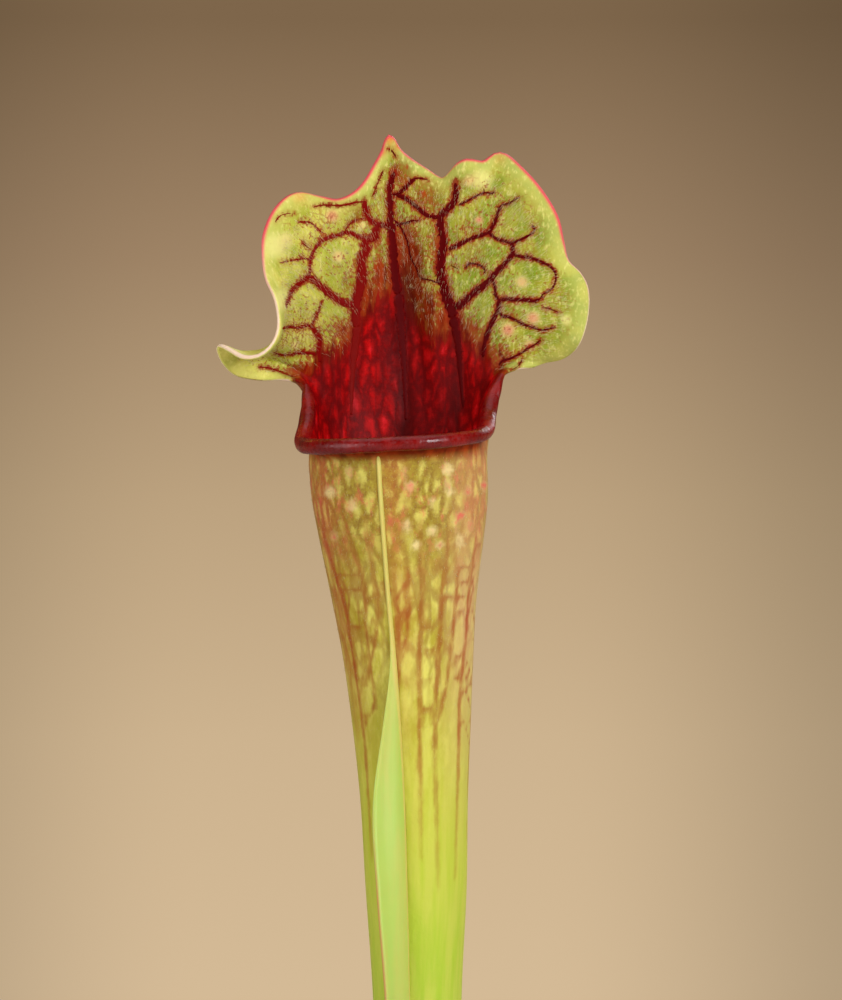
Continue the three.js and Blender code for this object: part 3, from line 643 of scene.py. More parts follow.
# Marks on the hood, throat and tube, as places in the 842 by 1000 frame. They fall on the leaf
# along the view.
hoodMarks = {
    "millimetrePerPixel": 0.13,
    "widen": 1.3,
    "sampleEvery": 2.4,
    # how far the ray starts behind the front skin, and how far it may go, to find the back of a vein
    "behindFrom": 0.25,
    "behindTo": 2.5,
    # side veins grow on veins at least this wide, at this share of their points
    "spursFrom": 0.2,
    "spurShare": 0.26,
    # how far the skin between the veins is puffed up
    "puffed": 0.26,
    # width at the start, width at the end, then the places that the vein passes
    "veins": [
        (5, 11, [(394, 172), (390, 187), (390, 200), (390.5, 214), (391, 226), (392.7, 243), (394, 260),
                 (395.5, 277), (398, 294)]),
        (11, 2.5, [(398, 294), (400, 310), (401, 325), (403, 350), (405, 385), (406, 420)]),
        (2.5, 1.5, [(388.7, 149), (392, 151), (396, 157)]),
        (1.2, 1.2, [(383, 170), (378.5, 181), (375, 190), (372, 197)]),
        (5, 5, [(364, 201), (365.5, 209), (368, 217), (374, 223), (381, 225), (390, 226)]),
        (2, 1.2, [(364, 202), (357, 202), (349, 204), (340, 205.4), (323, 205), (314, 207)]),
        (7.5, 9, [(377, 226), (376, 232), (373, 238), (366, 239), (365, 243), (366.6, 249), (362.7, 257),
                  (361.5, 266), (362, 277), (360, 289), (357, 299), (356, 315), (357, 327)]),
        (9, 2.5, [(357, 327), (356, 340), (354, 356), (352, 385), (351, 415)]),
        (3.5, 3.5, [(366, 238), (357, 236.5), (351, 233), (345.7, 232), (339, 235), (332, 236.5),
                    (325, 239), (320, 242)]),
        (3.2, 2.5, [(320, 242), (315, 249), (311.7, 255), (310.5, 260), (310, 269), (309.4, 276)]),
        (1.5, 1.5, [(366, 218), (357, 219.5), (351, 223), (347, 227), (345, 232)]),
        (2, 1.4, [(299, 222), (308, 222), (314, 225), (318.5, 230), (323, 232.6)]),
        (1.2, 0.8, [(302.6, 243), (309.4, 248.4)]),
        (2.4, 1.2, [(310, 259), (303.7, 258.6), (294.7, 260), (286.7, 261.5), (279.4, 263)]),
        (1.2, 0.8, [(275, 222), (280, 216), (285.6, 214), (293.5, 213)]),
        (4, 5, [(286, 305), (289.3, 298), (290, 294), (294, 288), (300.7, 282.5), (309.4, 276.2)]),
        (6, 6, [(309.4, 276.2), (316, 282), (323, 288.7), (330, 294.5), (337, 299), (347, 304), (356, 305)]),
        (1.8, 2.4, [(322, 300.6), (320.5, 305), (317.7, 313), (314.3, 318.7), (312, 325)]),
        (2.6, 3.4, [(282.5, 328.4), (289, 326.7), (298.4, 327.8), (307.5, 325.5), (312, 327)]),
        (5.5, 5, [(312, 327), (316.5, 333.5), (320, 340), (318.8, 349), (318.7, 354), (321, 362)]),
        (2.2, 3.4, [(274.6, 352.7), (282.5, 355), (291.6, 354.4), (300.7, 352.7), (309.7, 353.3),
                    (316.5, 354.4)]),
        (1.6, 2.4, [(258.7, 367), (266.7, 367.5), (275.7, 370), (283.7, 373), (291.6, 376.5), (298.4, 382)]),
        (1.2, 0.8, [(277, 325.5), (269, 333.5), (260, 339), (254, 345)]),
        (3.6, 3.2, [(415, 178), (410, 183), (404, 189), (398.6, 193.5), (392, 194.6)]),
        (1.6, 1, [(413, 179), (419, 178), (428, 180)]),
        (4.4, 4, [(395.8, 194.6), (403, 197), (410, 201.4), (418, 208), (424.7, 214), (432.6, 217),
                  (439.4, 217)]),
        (5.5, 11, [(455.3, 183), (455.8, 190), (455.3, 199), (450.7, 206), (445, 211.6), (441, 216),
                    (440.5, 224), (441.7, 232), (443.4, 240), (442.8, 249), (441, 260), (440.5, 272),
                    (442, 281), (445.9, 294.4), (450.4, 305.7), (453.8, 317)]),
        (11, 2.5, [(453.8, 317), (457, 336), (459, 352), (461, 380), (463, 408)]),
        (2.2, 1.6, [(458.7, 205), (464, 202.5), (471, 199), (476.8, 195.7), (482.5, 193.5), (486, 192.3),
                    (490.4, 193.5), (495, 192)]),
        (1.2, 1.2, [(484.4, 193), (483.6, 187.8)]),
        (4.2, 3.4, [(448.5, 249), (455, 246.7), (464, 242), (473.4, 237.7), (481, 235.4), (489.3, 232),
                    (492.7, 226), (496, 219.5), (498.3, 211.6), (501.7, 204.8)]),
        (2.2, 1.2, [(501.7, 204.8), (508.5, 203.7), (514, 200), (520, 197)]),
        (3.4, 1.8, [(489, 233), (497, 239), (504, 241), (511, 243), (517.6, 241), (524.4, 237.7),
                    (531, 234), (534.6, 229.7), (532.3, 225)]),
        (4.5, 7, [(512, 243), (512.7, 253), (507, 261.5), (498, 270.6), (490, 279.7), (481, 287.6),
                  (472, 294.4), (464, 302), (455, 308)]),
        (3, 1.8, [(512, 253.5), (519.5, 256.4), (529.7, 257.6), (538.8, 261), (548, 265), (554.7, 271.7),
                  (555.8, 279.7), (553.5, 286.5), (549, 291), (543, 294.4), (540, 299)]),
        (3.6, 4, [(540, 299), (534, 301), (526, 300), (516, 299.5), (507, 299), (499, 300)]),
        (3.5, 3.5, [(493, 280), (495.2, 288.7), (495.7, 295.5), (499, 300)]),
        (5.5, 5, [(499, 300), (498, 310), (493.5, 319), (490, 327), (486.7, 336), (484.4, 345), (483, 357)]),
        (3, 1.6, [(499, 312), (502.5, 316), (509, 317), (516, 320.5), (524, 324.4), (532, 327.3), (541, 330),
                  (548, 329), (554.7, 327)]),
        (1.6, 2.8, [(541, 339.7), (535.4, 344.3), (529.7, 347.7), (520.7, 353.3), (511.6, 358),
                    (502.5, 361), (499, 364.7)]),
        (1.2, 0.8, [(543, 307), (550, 309), (559, 312.5)]),
        (1.2, 1, [(521.8, 360), (518.4, 366), (511.6, 370)]),
        (2, 2, [(465.5, 268), (469, 263.7), (474.5, 263.7), (480, 265.4), (484.7, 269.4), (484.7, 273)]),
        (1.4, 0.8, [(450.7, 265), (458.7, 269.4)]),
        (3, 1.2, [(396, 226), (399.7, 224), (405.4, 223), (413, 220.7), (420, 221)]),
        (2.2, 2.2, [(394, 220), (400, 226), (407.7, 242), (409.4, 252), (412, 260), (416.7, 269),
                    (418, 275)]),
        (2.2, 1.6, [(418, 275), (422, 278.5), (430, 280), (438, 283)]),
    ],
    # where the throat's red begins, from left to right
    "redFrom": [(272, 394), (285, 386), (300, 374), (312, 362), (325, 354), (340, 348), (352, 336),
                (362, 314), (374, 302), (386, 292), (398, 286), (410, 304), (420, 322), (432, 336),
                (446, 332), (458, 328), (470, 340), (484, 352), (496, 366), (510, 380), (525, 392)],
    "redSoft": 30,
    # where the green turns red-brown above the throat, also darkened there with painted shade: place, half
    # width, half height, how much
    "embers": [(396, 270, 13, 50, 1), (380, 278, 9, 32, 1), (379, 246, 8, 20, 0.62),
               (412, 258, 15, 38, 1), (416, 290, 13, 24, 1), (430, 308, 15, 24, 1),
               (372, 298, 12, 26, 1), (432, 242, 9, 30, 0.6), (442, 320, 12, 20, 1),
               (345, 330, 16, 14, 0.65), (323, 346, 15, 8, 0.5), (470, 330, 13, 14, 0.8),
               (500, 354, 14, 11, 0.7), (484, 342, 8, 14, 0.7), (300, 372, 18, 10, 0.8),
               (466, 226, 24, 22, 0.3), (472, 262, 20, 18, 0.36), (452, 326, 14, 26, 0.9),
               (350, 284, 14, 16, 0.45), (338, 264, 20, 18, 0.32), (306, 340, 12, 10, 0.25),
               (518, 342, 16, 12, 0.3), (356, 212, 18, 10, 0.42), (428, 198, 18, 22, 0.7),
               (402, 174, 12, 18, 0.7), (305, 214, 16, 14, 0.22), (522, 284, 26, 18, 0.15),
               (500, 225, 14, 12, 0.35), (312, 200, 16, 9, 0.22)],
    # where the hood flushes orange-red: place, size, how much
    "flushes": [(389, 136, 7, 1), (382, 152, 4, 0.6), (398, 146, 4, 0.6), (300, 196, 7, 0.4),
                (500, 158, 6, 0.3)],
    # painted shade where the throat is darkest, reaching up onto the hood: place, half width, half height,
    # how dark
    "paintedShadeSpots": [(405, 415, 14, 85, 1), (401, 340, 16, 55, 0.9), (354, 400, 7, 60, 0.6),
               (457, 390, 8, 70, 0.6), (428, 380, 5, 60, 0.35), (380, 395, 5, 60, 0.4),
               (328, 410, 6, 50, 0.5), (406, 290, 12, 34, 0.95), (482, 385, 6, 50, 0.5),
               (440, 415, 4, 45, 0.4), (470, 415, 4, 40, 0.4), (342, 420, 4, 40, 0.4)],
    # pale and pink windows in the hood, then spots at the tube's top: place, size, how pink
    "windows": [(332, 216, 8, 0.8), (338, 256, 7, 0.4), (479, 220, 5, 1), (469, 181, 7, 0.4),
                (482, 180, 12, 0), (276, 246, 14, 0), (282, 300, 12, 0), (508, 330, 8, 0.9),
                (533, 318, 8, 0.8), (566, 320, 6, 0), (285, 240, 9, 0.15), (522, 282, 7, 0.5),
                (362, 225, 5, 0.3), (295, 345, 5, 0.2), (530, 345, 6, 0.6), (349, 473, 5, 0.85),
                (405, 473, 4.5, 1), (410, 487, 6, 0.7), (448, 469, 7, 0.2), (448, 482, 5, 0.75),
                (450, 491, 5, 0.3), (468, 490, 5, 0.95), (484, 487, 5, 1), (432, 503, 5, 0.4),
                (461, 516, 5, 1), (456, 526, 4.5, 1), (470, 526, 5, 1), (407, 526, 6, 0.35),
                (432, 531, 6, 0.3), (334, 535, 5, 0.9), (460, 541, 6, 0.2), (330, 492, 7, 0),
                (352, 505, 6, 0.4), (416, 545, 6, 0.1), (440, 545, 5, 0.5)],
}


def markedVeins(surface, veins, behind=False):
    # each vein as points on the leaf, the leaf's normals there, and the vein's width
    marks, paths = hoodMarks, []
    origin = Vector(eye)
    for startWidth, endWidth, places in veins:
        places = np.array(places, float)
        run = np.concatenate([[0], np.cumsum(np.linalg.norm(np.diff(places, axis=0), axis=1))])
        count = max(4, int(run[-1] / marks["sampleEvery"]))
        at = np.linspace(0, run[-1], count)
        path = []
        for (across, down), share in zip(curveThrough(run, places)(at), at / run[-1]):
            ray = Vector(rayThrough(across, down))
            spot, normal, _, _ = surface.ray_cast(origin, ray)
            if spot is None:
                continue
            if behind:
                spot, normal, _, far = surface.ray_cast(spot + ray * marks["behindFrom"], ray)
                if spot is None or far > marks["behindTo"]:
                    continue
            width = (startWidth + (endWidth - startWidth) * share) * marks["millimetrePerPixel"]
            path.append((spot, normal, width * marks["widen"]))
        if len(path) > 3:
            paths.append(path)
    return paths


def veinSpurs(paths):
    # short stubby side veins fray the edges of the net's wider veins
    spurs = []
    for path in paths:
        for k in range(1, len(path) - 1):
            spot, normal, width = path[k]
            if width < hoodMarks["spursFrom"]:
                continue
            along = (path[k + 1][0] - path[k - 1][0]).normalized()
            for way in (-1, 1):
                if draws.random() > hoodMarks["spurShare"]:
                    continue
                lean = (normal.cross(along) * way + along * draws.uniform(-1.1, 1.1)).normalized()
                start = spot + along * draws.uniform(-0.15, 0.15)
                length = width * 0.45 + draws.uniform(0.04, 0.28)
                size = draws.uniform(0.16, 0.3)
                spurs.append([(start + lean * length * t, normal, size * (1.1 - 0.75 * t))
                              for t in (0, 0.4, 0.75, 1)])
    return spurs


def veinRibbons(name, surface, paths):
    # thin ridges with a rounded back that follow the leaf, closed underneath
    look = veinLooks[name]
    form = startForm("across")
    levels = [(-1, -0.03), (-0.55, 0.6), (0, 1), (0.55, 0.6), (1, -0.03)]
    for path in paths:
        spots = np.array([p[0] for p in path])
        along = unit(np.gradient(spots, axis=0))
        jitter = 1 + 0.11 * draws.standard_normal(len(path))
        ends = np.minimum(1, (np.minimum(np.arange(len(path)), np.arange(len(path))[::-1]) + 0.8) / 1.8)
        loops = []
        for k, (spot, normal, width) in enumerate(path):
            side = unit(np.cross(np.array(normal), along[k]))
            half = width / 2 * max(0.6, jitter[k]) * ends[k]
            loop = []
            for across, rise in levels:
                at, lean, _, _ = surface.find_nearest(Vector(spots[k] + side * half * across))
                if lean.dot(normal) < 0.2:
                    lean = normal
                loop.append(np.array(at) + np.array(lean) * (look["raised"] * rise if rise > 0 else rise))
            below = np.array(spot) - np.array(normal) * 0.12
            loop += [below + side * half * 0.5, below - side * half * 0.5, loop[0]]
            loops.append(loop)
        addGrid(form, cappedRows(np.array(loops)), across=np.array([1, 0.55, 0, 0.55, 1, 1, 1, 1])[None, :])
    closeForm(form)
    return meshPiece(name, form, [veinMaterial(look)])


def softSpots(across, down, marks):
    # the strongest of the soft spots at each point; a spot is its place, half width, half height and strength
    field = np.zeros(across.shape)
    for x, y, *sizes, much in marks:
        wide, high = sizes[0], sizes[-1]
        field = np.maximum(field, much * np.exp(-((across - x) / wide) ** 2 - ((down - y) / high) ** 2))
    return field


# what the leaf's mesh keeps for its material: the skin, 0 outside and 1 inside; the level up the sheet; the
# distance to the margin; the lip; the distance to a vein; the throat's red; and the listed marks
leafLayers = ("skin", "level", "edge", "lip", "halo", "red", "pale", "pink", "deep", "flush", "ember")


def dressedLeaf(name, leaf, materials, paths=()):
    # the skins of a leaf; where vein paths are given, they and the hood's marks are worked into it
    rings, values = pitcherSkins(leaf)
    rings = standLeaf(leaf, rings)
    level, skin, turn, past = (values[key] for key in ("level", "skin", "turn", "past"))
    rise = np.linalg.norm(np.diff(rings, axis=0), axis=2)
    far = np.concatenate([np.zeros((1, level.shape[1])), np.cumsum(rise, axis=0)])
    edge = np.abs(far - far[int(np.argmax(level[:, 0] == 2))]) + 9 * (1 - smooth01((past + 2) / 9))
    lip = smooth01((level - 0.9) / 0.12) * smooth01((6 - past) / 9) * smooth01(values["roll"] / 60)
    lip = np.where(skin > 0.75, smooth01((level - 0.8) / 0.2), 1) * lip
    flush = np.zeros(level.shape)
    for angle, wide, much in leaf["flushes"]:
        flush = np.maximum(flush, much * np.exp(-(((turn - angle + 180) % 360 - 180) / wide) ** 2))
    flush = np.where(level < 0.3, flush, 0)
    halo, red = np.full(level.shape, 9.0), smooth01((0.62 - level) / 0.3)
    pale = pink = deep = ember = np.zeros(level.shape)
    if paths:
        tree = KDTree(sum(len(path) for path in paths))
        halves = []
        for path in paths:
            for spot, _, width in path:
                tree.insert(spot, len(halves))
                halves.append(width / 2)
        tree.balance()
        for j, i in np.argwhere(((level > 0.1) & (past > -25)) | ((level < 0.3) & (skin == 0))):
            _, index, distance = tree.find(rings[j, i])
            halo[j, i] = distance - halves[index]
        # the skin between the veins is puffed up a little towards the front
        puff = hoodMarks["puffed"] * (1 - np.exp(-np.maximum(halo - 0.1, 0) / 0.9))
        puff = puff * smooth01((edge - 0.4) / 2) * smooth01((level - 0.12) / 0.3) * smooth01((past + 6) / 12)
        rings = rings - values["out"] @ spinOf(leaf).T * puff[..., None]
        across, down = pixelOf(rings)
        start = np.array(hoodMarks["redFrom"], float)
        red = smooth01(0.5 + (down - np.interp(across, start[:, 0], start[:, 1])) / 2 / hoodMarks["redSoft"])
        deep = softSpots(across, down, hoodMarks["paintedShadeSpots"])
        ember = softSpots(across, down, hoodMarks["embers"])
        pink = softSpots(across, down, hoodMarks["windows"])
        pale = softSpots(across, down, [(x, y, size, 1) for x, y, size, _ in hoodMarks["windows"]])
        flush = np.maximum(flush, softSpots(across, down, hoodMarks["flushes"]))
    values["bare"] = np.clip(red * 1.5 + 0.6 * ember + 0.65 * (halo < 0.05), 0, 1)
    form = startForm(*leafLayers)
    fields = (skin, level, edge, lip, halo, red, pale, pink, deep, flush, ember)
    addGrid(form, rings, **dict(zip(leafLayers, fields)))
    closeForm(form)
    onLip = form.verts.layers.float["lip"]
    for face in form.faces:
        face.material_index = int(sum(corner[onLip] for corner in face.verts) > 2.4)
    return meshPiece(name, form, materials), rings, values


def hoodColour(paint, at):
    mix, ramp, plus, times, noise, _ = paint.verbs()
    # yellow-green, lighter in patches and near the margin, and finely grained; lighter and yellower on the
    # left as painted light, darker and greener on the right as painted shade with a greener tint of its own
    towardShadedRight = ramp(at.aside, -0.010, 0.002)
    hood = mix(ramp(noise(300, 3), 0.35, 0.65), mix(towardShadedRight, "hoodBright", "hoodGreen"),
               mix(towardShadedRight, "hoodSunny", "hoodYellow"))
    hood = mix(ramp(at.edge, 4.5, 0.8, 0, 0.35), hood, "hoodPale")
    # painted shade in the hood's middle above the throat, where it also turns red-brown
    hood = mix(ramp(at.ember, 0.05, 0.8, 0, 0.8), hood, "hoodDusk")
    hood = mix(ramp(noise(2400, 3, stretch=(1, 1, 0.5)), 0.5, 0.72, 0, 0.6), hood, "hoodPale")
    hood = mix(ramp(at.pale, 0.1, 0.9, 0, 0.85), hood, mix(at.pink, "hoodPale", "windowPink"))

    # red-brown specks, most near the veins and the throat, a fine net in places, and a stain beside each vein
    clusters = ramp(noise(190, 2, shift=(0.7, 0, 0)), 0.42, 0.62, 0, 0.3)
    many = plus(plus(times(at.red, 1.6), ramp(at.halo, 0.9, 0.05, 0.04, 0.4)), clusters)
    specks = plus(noise(2300, 2, 0.6), times(plus(many, at.ember), 0.26))
    specks = times(ramp(specks, 0.66, 0.74, 0, 0.8), ramp(at.edge, 1, 6, 0.1, 1))
    hood = mix(specks, hood, "mottle")
    hood = mix(ramp(at.halo, 0.75, 0.05, 0, 0.3), hood, "mottle")
    meshed = ramp(noise(180, 3, 0.6, shift=(4, 0, 0)), 0.46, 0.62, 0.04, 0.75)
    meshed = times(times(meshed, ramp(towardShadedRight, 0, 1, 1, 0.55)), ramp(at.edge, 1.5, 4))
    mesh = ramp(paint.cells(paint.look["meshCells"], (1, 1, 0.8), 0.0007), 0.16, 0.02)
    hood = mix(times(mesh, meshed), hood, "mottle")
    near = ramp(plus(at.halo, ramp(noise(1700, 4, 0.75), 0.25, 0.75, -0.35, 0.3)), 0.22, -0.05)
    hood = mix(times(near, 0.9), hood, "beside")
    return mix(times(at.flush, 0.9), hood, "apex")


def throatColour(paint, at, tone, gaps):
    mix, ramp, _, times, noise, _ = paint.verbs()
    # crimson, with upright dark streaks, bright spots in its cells, and painted shade, near black, in its
    # hollows
    throat = mix(tone, "throatDark", "throat")
    chosen = ramp(noise(420, 3, 0.6, shift=(0, 2, 0)), 0.4, 0.6, 0.15, 0.95)
    throat = mix(ramp(gaps, 0.34, -0.02, 0, 0.8), throat, "throatVein")
    throat = mix(times(ramp(gaps, 0.24, 0.5), chosen), throat, "throatSpot")
    streak = noise(560, 3, 0.6, (1, 1, 0.06), (0, 0, 3))
    throat = mix(ramp(streak, 0.48, 0.66, 0, 0.65), throat, "throatVein")
    throat = mix(times(at.deep, 0.85), throat, "throatDeep")
    return mix(ramp(at.red, 1.0, 0.5, 0, 0.85), throat, mix(tone, "emberDark", "throatTop"))


def tubeColour(paint, at):
    mix, ramp, plus, times, noise, sway = paint.verbs()
    # lime at the foot, then plain yellow-green
    plain = mix(ramp(at.height, *paint.heights("limeFrom")), "tubeLime", "tubeYellow")
    plain = mix(times(ramp(noise(700, 3, 0.6, (1, 1, 0.06)), 0.35, 0.65), 0.35), plain, "tubeIsland")

    # higher up a net of brown lines, red where the tube flushes
    flesh = mix(ramp(noise(420, 4, 0.65, (1, 1, 0.4)), 0.35, 0.65), "tubeOlive", "tubeIsland")
    top = ramp(at.height, *paint.heights("spotsFrom"))
    net = paint.cells(paint.look["netCells"], (1, 1, 0.36), 0.0016)
    net = plus(net, times(sway(0.08, 2600, 3, 0.7), top))
    line = paint.maths("DIVIDE", net, plus(0.15, times(top, 0.13)))
    netted = ramp(at.height, *paint.heights("netLinesFrom"), 0, 0.62)
    flesh = mix(times(ramp(line, 1.3, 0.2), netted), flesh, mix(at.flush, "tubeBrown", "tubeVein"))
    blush = times(at.flush, ramp(noise(350, 4, 0.6, (1, 1, 0.3)), 0.3, 0.65, 0.1, 0.7))
    flesh = mix(blush, flesh, "tubeVein")

    # at its top soft pale islands on brown, rosy in places, with pale and pink spots
    ground = mix(ramp(noise(1500, 4, 0.8), 0.15, 0.85), "tubeShade", "tubeOlive")
    ground = mix(times(blush, 0.9), ground, "tubeVein")
    islands = plus(paint.cells(paint.look["islandCells"], (1, 1, 0.55), 0.0012), sway(0.08, 2600, 4, 0.8))
    lightness = ramp(noise(330, 3, 0.6, (1, 1, 0.6)), 0.35, 0.6, 0.35, 0.95)
    upper = mix(times(ramp(islands, 0.05, 0.36), lightness), ground, "tubeIsland")
    upper = mix(times(blush, 0.45), upper, "tubeSpot")
    rosy = ramp(noise(560, 4, 0.7, (1, 1, 0.6), (0, 0, 5)), 0.5, 0.68, 0, 0.5)
    upper = mix(rosy, upper, "tubeSpot")
    flesh = mix(times(top, 0.9), flesh, upper)
    # painted light: the tube's right side, lit by the key, is painted paler, less so towards its top
    paintedLightRight = times(ramp(at.aside, 0.004, 0.009, 0, 0.42), ramp(top, 0, 1, 1, 0.4))
    flesh = mix(paintedLightRight, flesh, "tubePale")
    speckled = sway(0.12, 2000, 3, 0.7, shift=(0, 1, 0))
    spot = mix(ramp(plus(at.pink, speckled), 0.15, 0.8, 0, 0.9), "tubePale", "tubeSpot")
    flesh = mix(ramp(plus(at.pale, speckled), 0.15, 0.95, 0, 0.85), flesh, spot)
    outside = mix(ramp(at.height, *paint.heights("netFades")), plain, flesh)

    # the long veins down the tube fade towards its foot and under the lip
    along = plus(at.halo, sway(0.15, 900, 4, 0.6, (1, 1, 0.4)))
    fades = times(ramp(at.height, *paint.heights("streamsFade")),
                  ramp(at.height, *reversed(paint.heights("spotsFrom")), 0.35, 1))
    stream = times(ramp(along, 0.42, -0.22, 0, 0.82), fades)
    return mix(stream, outside, mix(at.flush, "stream", "streamRed"))


def leafMaterial(name, look, shine):
    paint = paintFor(name, look, Subsurface_Weight=0.1, Subsurface_Scale=0.0012,
                     Subsurface_Radius=(1.0, 0.6, 0.25), Specular_IOR_Level=look[shine])
    mix, ramp, plus, times, noise, sway = paint.verbs()
    at = SimpleNamespace(**{key: paint.kept(key) for key in leafLayers}, height=paint.axis("Z"),
                         aside=paint.axis("X"))
    tone = ramp(noise(620, 4, 0.6, (1, 1, 0.12)), 0.3, 0.7)
    gaps = plus(paint.cells(look["throatCells"], (1, 1, 0.5), 0.0014), sway(0.1, 1500, 3, 0.7))
    hood, throat, tube = hoodColour(paint, at), throatColour(paint, at, tone, gaps), tubeColour(paint, at)

    # where the hood turns red-brown above the throat, and where the throat itself begins
    fire = paint.maths("MAXIMUM", paint.maths("SUBTRACT", at.ember, 0.18), times(at.red, 1.4))
    fire = plus(fire, sway(0.4, 900, 5, 0.7, (1, 1, 0.5), (3, 0, 0)))
    hood = mix(ramp(fire, 0.36, 0.72, 0, 0.92), hood, mix(tone, "emberDark", "ember"))
    # painted shade on the hood where the throat's darkest marks reach up
    hood = mix(times(at.deep, 0.85), hood, "hoodDeep")
    mixed = plus(times(at.red, 1.6), sway(0.5, 1000, 5, 0.7, (1, 1, 0.2)))
    inside = mix(ramp(mixed, 0.62, 1.05), hood, throat)
    # painted shade, near black, deeper down inside the tube
    inside = mix(ramp(at.level, -0.2, -2.5), inside, "throatDeep")

    # the hood's back is like its front
    outside = mix(ramp(at.level, -0.1, 0.5), tube, hood)
    colour = mix(at.skin, outside, inside)

    # the lip and the rim: dark wet red, cream on the hood's lower margin and pink on its upper one
    colour = mix(at.lip, colour, mix(ramp(noise(320, 4, 0.6), 0.35, 0.7), "lip", "lipBright"))
    rim = mix(ramp(at.height, *paint.heights("rimPinkFrom")), "rimCream", "rimPink")
    wider = ramp(at.height, *paint.heights("rimPinkFrom"), 1, 0.55)
    onRim = times(ramp(times(at.edge, wider), 0.6, 0.3), paint.maths("SUBTRACT", 1.0, at.lip))
    wet = ramp(noise(1500, 4, 0.7), 0.35, 0.65, 0.16, 0.44)
    paint.give(Base_Color=mix(onRim, colour, rim), Roughness=mix(at.lip, (0.5, 0.5, 0.5, 1), wet))
    paint.bump(plus(noise(1400, 3), times(ramp(gaps, 0, 0.3), 0.5)), 0.3, 0.00015)
    return paint.owner


def veinMaterial(look):
    paint = paintFor(look["material"], look, Roughness=0.5, Specular_IOR_Level=0.04)
    broken = paint.plus(paint.kept("across"), paint.ramp(paint.noise(2200, 3), 0.3, 0.7, -0.25, 0.25))
    colour = paint.mix(paint.ramp(broken, 0.35, 1.1), "middle", "side")
    # painted light: the veins on the lit left of the hood are painted lighter
    towardLitLeft = paint.ramp(paint.axis("X"), 0.0, -0.004, 0, 0.7)
    paint.give(Base_Color=paint.mix(towardLitLeft, colour, "left"))
    return paint.owner


leafLook = {
    # colours, heights in millimetres over the pot's underside, a pattern's cells in a metre, and shine
    # the hood's greens and yellows; the lighter two are painted light on its left
    "hoodGreen": (128, 144, 34),
    "hoodBright": (168, 172, 52),
    "hoodYellow": (166, 164, 52),
    "hoodSunny": (204, 196, 84),
    "hoodPale": (226, 218, 130),
    "hoodDusk": (124, 84, 14),
    "hoodDeep": (84, 8, 0),
    "windowPink": (222, 112, 104),
    "mottle": (150, 54, 22),
    "beside": (136, 24, 12),
    "apex": (222, 92, 44),
    "ember": (168, 54, 10),
    "emberDark": (92, 8, 0),
    "throatDark": (160, 2, 3),
    "throat": (204, 6, 7),
    "throatSpot": (246, 36, 44),
    "throatTop": (134, 18, 4),
    "throatVein": (98, 0, 2),
    "throatDeep": (62, 0, 0),
    "lip": (100, 0, 3),
    "lipBright": (134, 8, 8),
    "rimPink": (222, 84, 92),
    "rimCream": (238, 206, 178),
    "tubeIsland": (216, 204, 100),
    "tubeOlive": (174, 158, 50),
    "tubeBrown": (144, 106, 44),
    "tubeShade": (122, 78, 36),
    "tubeYellow": (190, 193, 64),
    "tubeLime": (168, 194, 58),
    "tubeVein": (170, 84, 44),
    "stream": (150, 84, 32),
    "streamRed": (162, 52, 30),
    "tubeSpot": (222, 88, 84),
    "tubePale": (232, 208, 144),
    "rimPinkFrom": (276, 288),
    "netFades": (202, 238),
    "netLinesFrom": (214, 242),
    "streamsFade": (186, 230),
    "limeFrom": (182, 222),
    "spotsFrom": (238, 252),
    "meshCells": 1250,
    "throatCells": 600,
    "netCells": 500,
    "islandCells": 540,
    "shine": 0.06,
    "lipShine": 0.38,
}
# a vein's middle, its sides, the lighter colour that both turn towards on the leaf's left, where it is
# painted light, and how far it stands out
veinLooks = {
    "hoodVeins": {"material": "veinRed", "middle": (82, 0, 2), "side": (112, 8, 5), "left": (136, 14, 8),
                  "raised": 0.05},
    "hoodVeinsBehind": {"material": "veinPale", "middle": (128, 60, 36), "side": (140, 110, 50),
                        "left": (140, 80, 44), "raised": 0.03},
}
tubeMarks = {
    # veins on the sides that the view doesn't show: first angle, last angle and step, and where they end
    "hiddenTurns": (100, 262, 17),
    "hiddenEnds": (-75, -40),
    "hiddenWidth": 0.55,
    "pointEvery": 0.25,
    # links join a vein to its neighbour
    "linkWidth": 0.34,
    "linksAbove": 222,
    "linkReach": 7.5,
    "linkShare": 0.8,
    "linkSag": 0.8,
    # width at the start, width at the end, then the places that the vein passes
    "veins": [
        (4, 2, [(314, 504), (327, 545), (336, 578), (345.5, 606), (351, 643), (355, 670), (362, 720),
                (366, 760), (369, 810), (372, 860)]),
        (4, 1.6, [(342, 504), (347, 534), (358, 560), (364, 587), (366, 624), (371, 670), (376, 707)]),
        (3, 1.6, [(364, 513), (371, 560), (379, 615)]),
        (3, 1.8, [(397, 596), (396, 661), (396, 741), (401, 788), (404, 850), (407, 900)]),
        (3, 1.8, [(406.5, 569), (408, 624), (403, 652)]),
        (3.8, 1.6, [(421, 522), (422, 569), (421, 615), (419.5, 670), (420, 778), (421, 860)]),
        (4, 1.6, [(449, 513), (447, 548), (441.7, 596), (440, 633), (436, 689), (435, 762), (437, 823),
                  (438, 890)]),
        (3, 1.6, [(458, 567), (454.6, 615), (450, 660), (445, 694)]),
        (4.4, 1.6, [(475, 541), (473, 560), (467.5, 606), (465.7, 643), (462, 670), (459, 720),
                    (458.6, 762), (456.5, 823), (455, 880)]),
    ],
}


# skin 1 is the inside and 0 the outside; a level of 1 is the margin, and one of -1 is 9 mm down the tube
hoodHairs = {
    "count": 6000,
    "length": (0.5, 1.2),
    "thickness": 0.016,
    "skin": 1,
    "levels": (0.18, 0.97),
    "fromNeck": -4,
    "thinsBelow": (262, 278),
    "lean": 0.42,
    "colour": (236, 214, 164),
}
tubeDown = {
    "count": 4200,
    "length": (0.16, 0.4),
    "thickness": 0.02,
    "skin": 0,
    "levels": (-7.5, 0.3),
    "fromNeck": -400,
    "thinsBelow": (205, 256),
    "lean": 0.9,
    "colour": (214, 196, 140),
}


